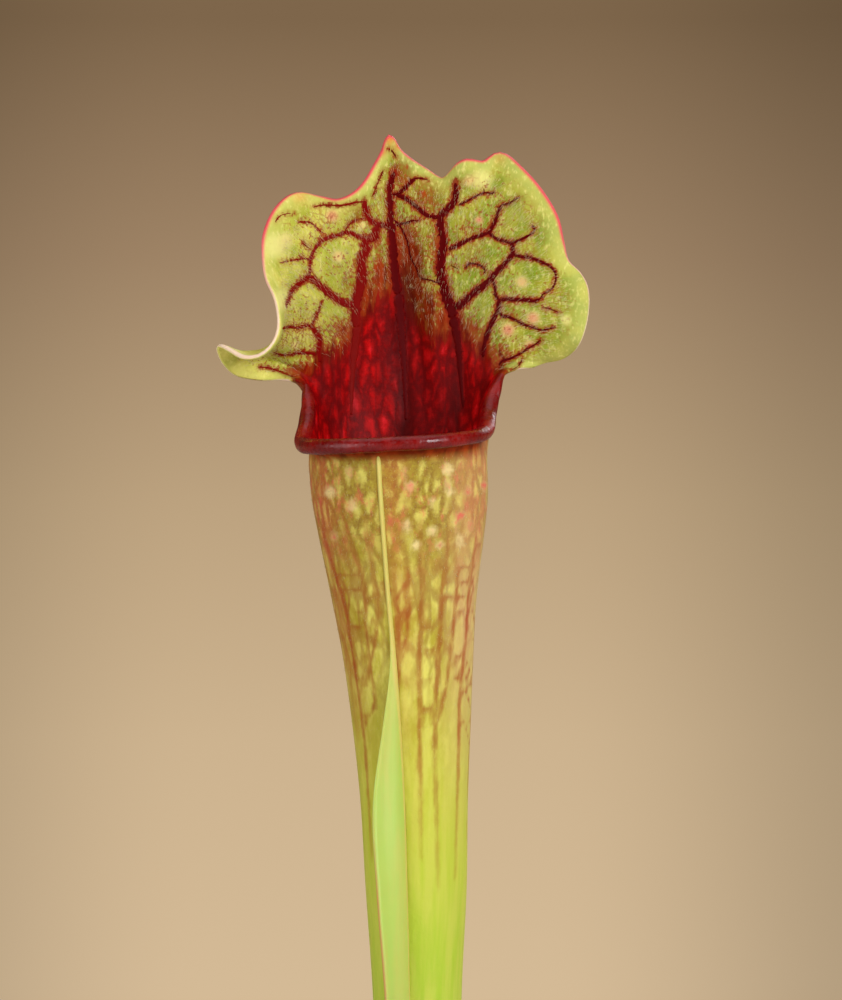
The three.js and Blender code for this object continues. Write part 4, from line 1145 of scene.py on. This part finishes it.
def leafHairs(name, leaf, rings, values, look):
    # fine hairs on one skin, leaning down the leaf, spread evenly by area
    ahead, across = rings[1:, :-1] - rings[:-1, :-1], rings[:-1, 1:] - rings[:-1, :-1]
    area = np.linalg.norm(np.cross(across, ahead), axis=2)
    level, past = values["level"][:-1, :-1], values["past"][:-1, :-1]
    inside = (values["skin"][:-1, :-1] == look["skin"]) & (values["skin"][1:, :-1] == look["skin"])
    inside &= (level > look["levels"][0]) & (level < look["levels"][1]) & (past > look["fromNeck"])
    bald, full = look["thinsBelow"]
    thins = smooth01((rings[:-1, :-1, 2] - bald) / (full - bald))
    thins = thins * ((1 - values["bare"][:-1, :-1]) * look["skin"] + 1 - look["skin"])
    chance = (area * inside * thins).ravel()
    picks = draws.choice(len(chance), look["count"], p=chance / chance.sum())
    j, i = np.unravel_index(picks, area.shape)
    u, v = draws.random((2, len(j), 1))
    spots = rings[j, i] + across[j, i] * u + ahead[j, i] * v
    way = -1 if look["skin"] else 1
    normal = unit(values["out"][j, i] @ spinOf(leaf).T) * way
    downward = unit(ahead[j, i]) * -way
    tip = unit(downward + normal * look["lean"] + draws.normal(0, 0.22, (len(j), 3)))
    side = unit(np.cross(tip, normal))
    turns = np.stack([side, np.cross(tip, side), tip], axis=2)
    sizes = np.full((len(j), 3), 1.0)
    sizes[:, 2] = draws.uniform(*look["length"], len(j))
    template = bmesh.new()
    bmesh.ops.create_cone(template, cap_ends=True, segments=3, radius1=look["thickness"], radius2=0, depth=1)
    bmesh.ops.translate(template, verts=template.verts, vec=(0, 0, 0.42))
    paint = paintFor(name, look, Roughness=0.55, Subsurface_Weight=0.2, Subsurface_Scale=0.0003)
    dim = shade(*(0.86 * c for c in look["colour"]))
    paint.give(Base_Color=paint.mix(paint.noise(500, 2), "colour", dim))
    return copiesOf(name, template, [paint.owner], spots, turns, sizes)


wingLook = {
    "rows": 150,
    "across": 7,
    "sunk": 0.5,
    "rootHalf": 0.3,
    "edgeHalf": 0.13,
    # pale: in random patches, and along the root as a painted highlight
    "ridge": (206, 190, 96),
    "green": (170, 190, 76),
    "greenLow": (178, 204, 92),
    "margin": (180, 116, 62),
}


def wingPiece(name, leaf):
    # a thin fin from the seam, leaning over to its free edge, and no more than a ridge near the lip
    look = wingLook
    station = curveThrough([row[0] for row in leaf["stations"]], leaf["stations"])
    low, high = leaf["stations"][0][0] + 1, -leaf["shoulderDrop"] * 0.6
    outward = radians(leaf["seamTurn"])
    shares = np.concatenate([[0], np.linspace(0, 1, look["across"] + 1)])
    rounds = np.concatenate([shares, shares[::-1]])
    sides = np.concatenate([np.full(len(shares), -1), np.full(len(shares), 1)])
    rows, field = [], []
    for height in np.linspace(low, high, look["rows"]):
        _, x, y, r, width, lean = station(height)[0]
        width = max(width, 0.3)
        bend = radians(lean) * smooth01(rounds * 1.5)
        mean, normal = outward - bend * 0.62, outward - bend
        reach = np.where(np.arange(len(rounds)) % (2 * len(shares) - 1) == 0, -look["sunk"] / width, rounds)
        half = (look["rootHalf"] + (look["edgeHalf"] - look["rootHalf"]) * rounds) * sides
        half = half * np.where(rounds > 0.999, 0.55, 1)
        row = np.stack([x + r * np.sin(outward) + width * reach * np.sin(mean) + half * np.cos(normal),
                        y - r * np.cos(outward) - width * reach * np.cos(mean) + half * np.sin(normal),
                        np.full_like(mean, height)], axis=-1)
        rows.append(np.concatenate([row, row[:1]]))
        field.append(np.concatenate([rounds * width, rounds[:1]]))
    field = np.array([field[0], *field, field[-1]])
    widest = np.maximum(field.max(1, keepdims=True), 0.01)
    form = startForm("rise", "share")
    addGrid(form, standLeaf(leaf, cappedRows(np.array(rows))), rise=field, share=field / widest)
    closeForm(form)

    paint = paintFor(name, look, Roughness=0.45, Subsurface_Weight=0.15, Subsurface_Scale=0.001)
    mix, ramp, height = paint.mix, paint.ramp, paint.axis("Z")
    body = mix(ramp(height, 0.19, 0.236), "greenLow", "green")
    body = mix(ramp(paint.noise(500, 3, 0.6, (1, 1, 0.1)), 0.35, 0.65, 0, 0.4), body, "ridge")
    # painted highlight: a pale line along the root, where the fin's crest catches the light
    body = mix(ramp(paint.kept("rise"), 0.75, 0.35), body, "ridge")
    fringe = paint.times(ramp(paint.kept("share"), 0.92, 0.99), ramp(height, 0.216, 0.2, 0, 0.8))
    paint.give(Base_Color=mix(fringe, body, "margin"))
    paint.bump(paint.noise(900, 3, 0.5, (1, 1, 0.15)), 0.25, 0.0001)
    return meshPiece(name, form, [paint.owner])


def tubeVeinPaths(leaf, surface, marked):
    # the marked veins, more down the tube's other sides, and links that join each to its neighbour
    sheet = LeafSheet(leaf)
    look = tubeMarks

    def onTube(angle, height):
        spot = standLeaf(leaf, sheet.tubeAt(np.array([angle]), np.array([height])))[0]
        spot, normal, _, _ = surface.find_nearest(Vector(spot))
        return spot, normal

    lines = []
    for angle in np.arange(*look["hiddenTurns"]):
        bottom = draws.uniform(*look["hiddenEnds"])
        heights = np.arange(-4, bottom, -2.0)
        wander = np.cumsum(draws.normal(0, 0.8, len(heights)))
        line = [(*onTube(angle + sway, height), look["hiddenWidth"] * (1 - 0.6 * height / bottom))
                for sway, height in zip(wander, heights)]
        lines.append(line)
    midX, midY = np.array(leaf["base"]) - leaf["stations"][0][1:3]
    uprights = sorted(marked + lines, key=lambda line: np.arctan2(line[0][0][0] - midX, midY - line[0][0][1]))
    links = []
    for here, there in zip(uprights, uprights[1:] + uprights[:1]):
        k = draws.integers(1, 3)
        while k < len(here) - 1:
            start = here[k][0]
            spots = [point[0] for point in there]
            best = min(range(len(spots)), key=lambda n: (spots[n] - start).length)
            best = min(len(spots) - 1, max(0, best + draws.integers(-1, 3)))
            far = (spots[best] - start).length
            inReach = far < look["linkReach"] and start.z > look["linksAbove"]
            if inReach and draws.random() < look["linkShare"]:
                steps = max(4, int(far / 0.3))
                arc = draws.uniform(-look["linkSag"], look["linkSag"])
                link = []
                for t in np.linspace(0, 1, steps):
                    at = start.lerp(spots[best], t) + Vector((0, 0, arc * np.sin(np.pi * t)))
                    width = look["linkWidth"] * (1 - 0.4 * np.sin(np.pi * t))
                    link.append((*surface.find_nearest(at)[:2], width))
                links.append(link)
            k += draws.integers(3, 8)
    return lines + links


def finerPaths(paths, step):
    # points closer together, so that distances to them are even
    finer = []
    for path in paths:
        line = []
        for (a, normal, wide), (b, _, narrow) in zip(path, path[1:]):
            count = max(1, int((b - a).length / step))
            line += [(a.lerp(b, k / count), normal, wide + (narrow - wide) * k / count) for k in range(count)]
        finer.append(line + [path[-1]])
    return finer


def buildTallPitcher():
    # the veins' places are found on a plain leaf first, because the skin is then puffed up between them
    materials = [leafMaterial("tallLeaf", leafLook, "shine"), leafMaterial("tallLip", leafLook, "lipShine")]
    plainLeaf, _, _ = dressedLeaf("tallPitcher", tallPitcher, materials)
    surface = surfaceOf(plainLeaf)
    bpy.data.objects.remove(plainLeaf)
    paths = markedVeins(surface, hoodMarks["veins"])
    marked = markedVeins(surface, tubeMarks["veins"])
    streams = finerPaths(marked + tubeVeinPaths(tallPitcher, surface, marked), tubeMarks["pointEvery"])
    leaf, rings, values = dressedLeaf("tallPitcher", tallPitcher, materials, paths + streams)
    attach(leaf, "root")
    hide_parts("pitcher_tall")
    surface = surfaceOf(leaf)
    paths = markedVeins(surface, hoodMarks["veins"])
    behind = markedVeins(surface, hoodMarks["veins"], behind=True)
    front = veinRibbons("hoodVeins", surface, paths + veinSpurs(paths))
    back = veinRibbons("hoodVeinsBehind", surface, behind)
    hairs = leafHairs("hoodHairs", tallPitcher, rings, values, hoodHairs)
    down = leafHairs("tubeDown", tallPitcher, rings, values, tubeDown)
    wing = wingPiece("tallWing", tallPitcher)
    for piece in (front, back, hairs, down, wing):
        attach(piece, "root")
    print("tall pitcher built, triangles", sum(len(p.vertices) - 2 for p in leaf.data.polygons))


smallPitcher = {
    **tallPitcher,
    "mouthHeight": 149.2,
    "neckRight": (4, 120),
    "neckLeft": (4, 120),
    "throat": (0, 1.5, 6.5, 4.8, 3.2),
    "seamTurn": 0,
    "shoulderDrop": 2,
    "fan": (0, 2.2, 6.6),
    "hoodDepth": (4.6, 0.016),
    "keel": 0.7,
    "cavityFloor": -52,
    "settling": 7,
    "lipColumns": 6,
    "hoodColumns": 8,
    "sheetRows": 7,
    "tubeRows": (10, 36),
    "fineFrom": 0.3,
    "rimRows": 6,
    "perColumn": 7,
    "perRow": 7,
    "stations": [
        (-72.5, 0, -9.0, 2.5, 0.3, 0), (-62, 0, -9.0, 2.1, 0.3, 0), (-52, 0, -8.4, 2.3, 2.6, 10),
        (-36, 0, -6.2, 2.9, 4.2, 14), (-18, 0, -2.8, 4.2, 3.4, 14), (-8, 0, -0.9, 5.3, 1.2, 10),
        (-2, 0, 0, 5.9, 0.3, 0),
    ],
    "right": [
        (0, -6.6, -0.2, 0, 210, 2.2), (3.8, -5.4, 0, 0, 205, 2.2), (6, -2.2, 0.9, 0, 190, 2.1),
        (6.3, 0.8, 3, 0, 130, 1.5), (7.2, 2.9, 4.8, 0, 50, 0.7), (8.8, 3, 8.5, 0, 10, 0.5),
        (10.8, 2.5, 9.4, 0, 0, 0.6), (11.9, 2.6, 12.4, 0, 0, 0.6), (10.2, 4, 14.6, -10, 10, 0.6),
        (7.4, 3, 16.4, 0, 0, 0.6), (4.4, 5.2, 17.2, -10, 15, 0.6), (2.2, 5, 19.4, 0, 0, 0.6),
        (0, 4.4, 22.4, 0, 0, 0.6),
    ],
    "left": [
        (0, -6.6, -0.2, 0, 210, 2.2), (-3.8, -5.4, -0.1, 0, 205, 2.2), (-6.1, -2.2, 0.7, 0, 190, 2.1),
        (-6.2, 0.8, 2.8, 0, 130, 1.5), (-7.2, 2.9, 4.7, 0, 50, 0.7), (-8.9, 2.9, 8.2, 0, 10, 0.5),
        (-11.2, 2.1, 8.7, 0, 0, 0.6), (-12.5, 1.9, 11.2, 5, 0, 0.6), (-10.8, 3.2, 13.4, 0, 5, 0.6),
        (-8.2, 4.6, 15.6, -10, 15, 0.6), (-5.2, 3.8, 16.6, 0, 5, 0.6), (-2.6, 5, 18.8, 0, 0, 0.6),
        (0, 4.4, 22.4, 0, 0, 0.6),
    ],
}
leftPitcher = {**smallPitcher, "base": (-2.6, -6.4), "facing": 66}
rightPitcher = {**smallPitcher, "base": (6.6, -7.6), "facing": -84}


def buildSmallPitchers():
    looks = {**leafLook, "rimPinkFrom": (158, 164), "netFades": (118, 138), "netLinesFrom": (122, 140),
             "limeFrom": (90, 120), "spotsFrom": (138, 150), "lipShine": 0.5}
    materials = [leafMaterial("smallLeaf", looks, "shine"), leafMaterial("smallLip", looks, "lipShine")]
    for name, node, leaf in (("leftPitcher", "pitcher_left", leftPitcher),
                             ("rightPitcher", "pitcher_right", rightPitcher)):
        piece, _, _ = dressedLeaf(name, leaf, materials)
        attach(piece, "root")
        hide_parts(node)
    print("small pitchers built")


# The pot, the soil and the crown

potLook = {
    "height": 88,
    "footRadius": 38,
    "stepRadius": 48.5,
    "rimRadius": 52,
    "rimBand": 9,
    "footBand": 3.5,
    "lift": 0.6,
    "wall": 1.6,
    "holes": 6,
    "holeRadius": 4,
    "holeRing": 26,
    "edgeRadius": 0.6,
    "segments": 160,
    "colour": (30, 29, 28),
    "dust": (104, 92, 76),
}
rimFoot = potLook["height"] - potLook["rimBand"]


def wallRadius(height):
    return potLook["footRadius"] + (potLook["stepRadius"] - potLook["footRadius"]) * height / rimFoot


def roundedCorners(corners, radius, steps):
    # each corner of an open outline is replaced by a small arc-like curve
    path = [corners[0]]
    for before, corner, after in zip(corners, corners[1:], corners[2:]):
        before, corner, after = np.array(before, float), np.array(corner, float), np.array(after, float)
        cut = min(radius, np.linalg.norm(before - corner) * 0.45, np.linalg.norm(after - corner) * 0.45)
        start, end = corner + unit(before - corner) * cut, corner + unit(after - corner) * cut
        for t in np.linspace(0, 1, steps):
            path.append(tuple((1 - t) ** 2 * start + 2 * t * (1 - t) * corner + t * t * end))
    return path + [corners[-1]]


def spunForm(profile, segments):
    form = bmesh.new()
    spots = [form.verts.new((radius * mm, 0, height * mm)) for radius, height in profile]
    edges = [form.edges.new(pair) for pair in zip(spots, spots[1:])]
    bmesh.ops.spin(form, geom=spots + edges, cent=(0, 0, 0), axis=(0, 0, 1), angle=radians(360),
                   steps=segments, use_merge=True)
    closeForm(form)
    return form


def buildPot():
    look = potLook
    wall, rim, height, foot = look["wall"], look["rimRadius"], look["height"], look["footRadius"]
    inner, lift, ledge = foot - look["footBand"], look["lift"], wallRadius(rimFoot)
    profile = roundedCorners([
        (0, lift), (inner - 1, lift), (inner, 0), (foot, 0), (ledge, rimFoot), (rim, rimFoot),
        (rim, height), (rim - wall, height), (rim - wall, rimFoot + wall), (ledge - wall, rimFoot + wall),
        (wallRadius(wall) - wall, wall), (0, wall),
    ], look["edgeRadius"], 5)
    paint = paintFor("potPlastic", look, Specular_IOR_Level=0.4)
    ramp, noise, upward = paint.ramp, paint.noise, paint.axis("Z")
    smears = ramp(noise(40, 6, 0.7, (1, 1, 0.4)), 0.5, 0.72)
    splashed = paint.plus(ramp(upward, 0.03, 0.0, 0.15, 0.8), ramp(upward, 0.074, 0.088, 0.1, 0.35))
    paint.give(Base_Color=paint.mix(paint.times(smears, splashed), "colour", "dust"),
               Roughness=ramp(noise(160, 4), 0.3, 0.7, 0.38, 0.62))
    paint.bump(noise(2600, 2), 0.25, 0.00012)
    pot = meshPiece("potShell", spunForm(profile, look["segments"]), [paint.owner])
    form = bmesh.new()
    for k in range(look["holes"]):
        turn = 2 * np.pi * k / look["holes"]
        drill = bmesh.ops.create_cone(form, cap_ends=True, segments=40, radius1=look["holeRadius"] * mm,
                                      radius2=look["holeRadius"] * mm, depth=0.008)["verts"]
        bmesh.ops.translate(form, verts=drill, vec=(look["holeRing"] * mm * np.cos(turn),
                                                    look["holeRing"] * mm * np.sin(turn), 0.001))
    drills = meshPiece("drills", form, [])
    cut = pot.modifiers.new("holes", "BOOLEAN")
    cut.object, cut.solver = drills, "EXACT"
    finished = bpy.data.meshes.new_from_object(pot.evaluated_get(bpy.context.evaluated_depsgraph_get()))
    pot.modifiers.clear()
    pot.data = finished
    bpy.data.objects.remove(drills)
    form = bmesh.new()
    form.from_mesh(pot.data)
    for edge in form.edges:
        edge.smooth = len(edge.link_faces) == 2 and edge.calc_face_angle(0) < radians(38)
    form.to_mesh(pot.data)
    form.free()
    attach(pot, "root")
    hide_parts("pot")
    print("pot built")


soilLook = {
    "top": 78,
    "edgeDrop": 0.6,
    "gap": 0.3,
    "rings": 90,
    "segments": 220,
    "crumbs": 2600,
    "grains": 150,
    "strands": 420,
    "crumbSize": (0.35, 1.3),
    "grainSize": (0.6, 1.5),
    "strandLength": (2.5, 7),
    "strandWidth": (0.8, 1.6),
    "crumbsInset": 1.4,
    "strandsInset": 8,
    "dark": (44, 31, 22),
    "light": (86, 62, 42),
    "grain": (226, 220, 206),
    "grainDark": (196, 190, 176),
    "strand": (168, 148, 92),
    "strandGreen": (120, 138, 62),
}
crownLook = {
    "centre": (2, -2.5, 77.5),
    "radii": (8.5, 15.5, 7),
    "bractFoot": 82,
    "bractRing": 3.1,
    "bractHalf": 2.6,
    "bractLean": -14,
    "bark": (92, 60, 40),
    "barkLight": (138, 92, 58),
    "bract": (150, 70, 52),
    "bractTip": (178, 132, 74),
}
spearLook = {
    "base": (2.3, -12.6),
    "foot": 77,
    "height": 57,
    "radius": 2.1,
    "belly": 2.7,
    "green": (178, 204, 84),
    "low": (150, 84, 62),
    "tip": (196, 92, 62),
    "lines": (148, 50, 34),
}


def soilHeight(x, y):
    # the lumpy top, level at the pot's wall
    side = wallRadius(soilLook["top"]) - potLook["wall"] - soilLook["gap"]
    inset = 1 - smooth01((np.hypot(x, y) - side + 4) / 4)
    lumps = np.sin(0.31 * x + 1) * np.cos(0.27 * y) + 0.6 * np.sin(0.62 * x - 0.53 * y)
    fine = 0.35 * np.sin(1.3 * x + 0.7 * y) * np.sin(1.1 * y - 0.4 * x + 1)
    fine += 0.18 * np.sin(2.9 * x) * np.sin(2.6 * y + 1)
    return soilLook["top"] - soilLook["edgeDrop"] + inset * (0.6 * lumps + 0.5 + 0.5 * fine)


def turnsFrom(tips, spins):
    # rotations that take +Z to each tip direction
    side = unit(np.cross(tips, np.stack([np.cos(spins), np.sin(spins), np.full_like(spins, 0.1)], axis=1)))
    return np.stack([side, np.cross(tips, side), tips], axis=2)


def roughMaterial(name, dark, light, scale, rough=0.9, relief=0.0006):
    paint = paintFor(name, {"dark": dark, "light": light}, Roughness=rough, Specular_IOR_Level=0.25)
    grain = paint.ramp(paint.noise(scale, 6, 0.7), 0.32, 0.68)
    paint.give(Base_Color=paint.mix(grain, "dark", "light"))
    paint.bump(paint.noise(scale * 2.5, 5, 0.7), 0.8, relief)
    return paint.owner


def buildSoil():
    look = soilLook
    bottom = potLook["wall"] + look["gap"]
    side = wallRadius(look["top"]) - potLook["wall"] - look["gap"]
    sideLow = wallRadius(bottom) - potLook["wall"] - look["gap"]
    turn = np.linspace(0, 2 * np.pi, look["segments"] + 1)
    rings = [(0, bottom), (sideLow, bottom), (side, look["top"] - look["edgeDrop"])]
    radii = [r for r, _ in rings] + list(side * (1 - np.arange(1, look["rings"] + 1) / look["rings"]))
    rows = []
    for k, radius in enumerate(radii):
        x, y = radius * np.cos(turn), radius * np.sin(turn)
        heights = np.full_like(turn, rings[k][1]) if k < len(rings) else soilHeight(x, y)
        rows.append(np.stack([x, y, heights], axis=-1))
    form = startForm()
    addGrid(form, np.array(rows))
    closeForm(form)
    earth = meshPiece("soilBed", form, [roughMaterial("peat", look["dark"], look["light"], 420)])
    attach(earth, "root")
    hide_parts("soil")

    def scattered(count, within):
        radius = within * np.sqrt(draws.random(count))
        angle = draws.uniform(0, 2 * np.pi, count)
        x, y = radius * np.cos(angle), radius * np.sin(angle)
        return np.stack([x, y, soilHeight(x, y)], axis=1)

    def upward(count, spread):
        return unit(np.array([0, 0, 1.0]) + draws.normal(0, spread, (count, 3)))

    bits = [("soilCrumbs", look["crumbs"], look["crumbSize"], look["dark"], look["light"], 700),
            ("perlite", look["grains"], look["grainSize"], look["grainDark"], look["grain"], 900)]
    for name, count, sizes, dark, light, scale in bits:
        template = bmesh.new()
        bmesh.ops.create_icosphere(template, subdivisions=1, radius=1)
        for vertex in template.verts:
            vertex.co *= draws.uniform(0.75, 1.2)
        size = draws.uniform(*sizes, (count, 1)) * draws.uniform(0.6, 1.1, (count, 3))
        places = scattered(count, side - look["crumbsInset"])
        places[:, 2] += size.mean(1) * 0.25
        piece = copiesOf(name, template, [roughMaterial(name, dark, light, scale)], places,
                         turnsFrom(upward(count, 1.5), draws.uniform(0, 6.28, count)), size, smooth=False)
        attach(piece, "root")

    count = look["strands"]
    template = bmesh.new()
    bmesh.ops.create_cone(template, cap_ends=True, segments=5, radius1=0.16, radius2=0.03, depth=1)
    upright = [e for e in template.edges if abs(e.verts[0].co.z - e.verts[1].co.z) > 0.5]
    bmesh.ops.subdivide_edges(template, edges=upright, cuts=5)
    for vertex in template.verts:
        vertex.co.x += 0.9 * (vertex.co.z + 0.5) ** 2
    bmesh.ops.translate(template, verts=template.verts, vec=(0, 0, 0.5))
    sizes = np.ones((count, 3))
    sizes[:, 2] = draws.uniform(*look["strandLength"], count)
    sizes[:, 0] = draws.uniform(*look["strandWidth"], count)
    flat = draws.normal(0, 1, (count, 3))
    flat[:, 2] = np.abs(flat[:, 2]) * 0.22
    moss = roughMaterial("moss", look["strandGreen"], look["strand"], 160, 0.8, 0.0002)
    strands = copiesOf("mossStrands", template, [moss], scattered(count, side - look["strandsInset"]),
                       turnsFrom(unit(flat), draws.uniform(0, 6.28, count)), sizes)
    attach(strands, "root")
    print("soil built")


def buildCrown():
    look = crownLook
    form = bmesh.new()
    bmesh.ops.create_uvsphere(form, u_segments=96, v_segments=64, radius=1)
    for vertex in form.verts:
        x, y, z = vertex.co
        knob = 0.05 * np.sin(9 * y + 1) + 0.04 * np.sin(7 * x) * np.cos(5 * z + 2)
        knob += 0.018 * np.sin(26 * y + 3 * np.sin(6 * x)) + 0.012 * np.sin(31 * x + 5 * y) * np.sin(23 * z)
        vertex.co = [(c + v * r * (1 + knob)) * mm
                     for c, v, r in zip(look["centre"], vertex.co, look["radii"])]
    bark = roughMaterial("bark", look["bark"], look["barkLight"], 260, 0.75, 0.0008)
    crown = meshPiece("crown", form, [bark])
    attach(crown, "root")
    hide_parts("rhizome")

    form = bmesh.new()
    for n, leaf in enumerate((leftPitcher, rightPitcher, spearLook, tallPitcher)):
        x, y = leaf["base"]
        for k in range(2):
            turn = radians(70 + 83 * n + 180 * k)
            height = 5 + (n + k) % 3
            made = bmesh.ops.create_uvsphere(form, u_segments=20, v_segments=14, radius=1)["verts"]
            lean = radians(look["bractLean"])
            tilt = np.array([[1, 0, 0], [0, np.cos(lean), -np.sin(lean)], [0, np.sin(lean), np.cos(lean)]])
            at = np.array([x + look["bractRing"] * np.sin(turn), y - look["bractRing"] * np.cos(turn),
                           look["bractFoot"]])
            for vertex in made:
                spot = np.array(vertex.co) * (look["bractHalf"], 1, height)
                spot[1] += 0.25 * (spot[0] / look["bractHalf"]) ** 2
                vertex.co = Vector((spinBy(turn) @ (tilt @ spot) + at) * mm)
    paint = paintFor("bract", look, Roughness=0.6, Specular_IOR_Level=0.3)
    veins = paint.noise(900, 3, 0.6, (1, 1, 0.12))
    body = paint.mix(paint.ramp(paint.axis("Z"), 0.0835, 0.0885), "bract", "bractTip")
    paint.give(Base_Color=paint.mix(paint.ramp(veins, 0.35, 0.65, 0, 0.5), body, "bark"))
    paint.bump(veins, 0.5, 0.0003)
    bracts = meshPiece("bracts", form, [paint.owner])
    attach(bracts, "root")
    print("crown built")


def buildSpear():
    look = spearLook
    profile = curveThrough([0, 0.12, 0.45, 0.75, 0.92, 1], [
        (look["radius"], 0), (look["radius"] * 0.8, 0), (look["radius"], 0), (look["belly"], 0.9),
        (look["belly"] * 0.7, 1.6), (0.35, 2.2)])
    turn = np.linspace(0, 2 * np.pi, 61)
    rows = []
    for t in np.linspace(0, 1, 120):
        r, shift = profile(t)[0]
        ridge = np.exp(-((((turn + np.pi) % (2 * np.pi)) - np.pi) / 0.24) ** 2)
        keel = 1 + 0.5 * smooth01((t - 0.2) / 0.2) * ridge
        rows.append(np.stack([r * 0.85 * keel * np.sin(turn), -r * keel * np.cos(turn) + shift,
                              np.full_like(turn, look["height"] * t)], axis=-1))
    form = startForm()
    addGrid(form, cappedRows(np.array(rows)) + np.array([*look["base"], look["foot"]]))
    closeForm(form)
    paint = paintFor("spear", look, Roughness=0.45, Subsurface_Weight=0.15, Subsurface_Scale=0.001,
                     Specular_IOR_Level=0.3)
    mix, ramp, height = paint.mix, paint.ramp, paint.axis("Z")
    body = mix(ramp(height, 0.098, 0.083), "green", "low")
    body = mix(ramp(height, 0.118, 0.136), body, "tip")
    lines = ramp(paint.noise(1300, 3, 0.6, (1, 1, 0.04)), 0.45, 0.65, 0, 0.55)
    paint.give(Base_Color=mix(paint.times(lines, ramp(height, 0.1, 0.13)), body, "lines"))
    paint.bump(paint.noise(1100, 3, 0.6, (1, 1, 0.06)), 0.3, 0.0001)
    spear = meshPiece("youngLeaf", form, [paint.owner])
    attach(spear, "root")
    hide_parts("young_leaf")
    print("young leaf built")


buildTallPitcher()
buildSmallPitchers()
buildPot()
buildSoil()
buildCrown()
buildSpear()
setStage()
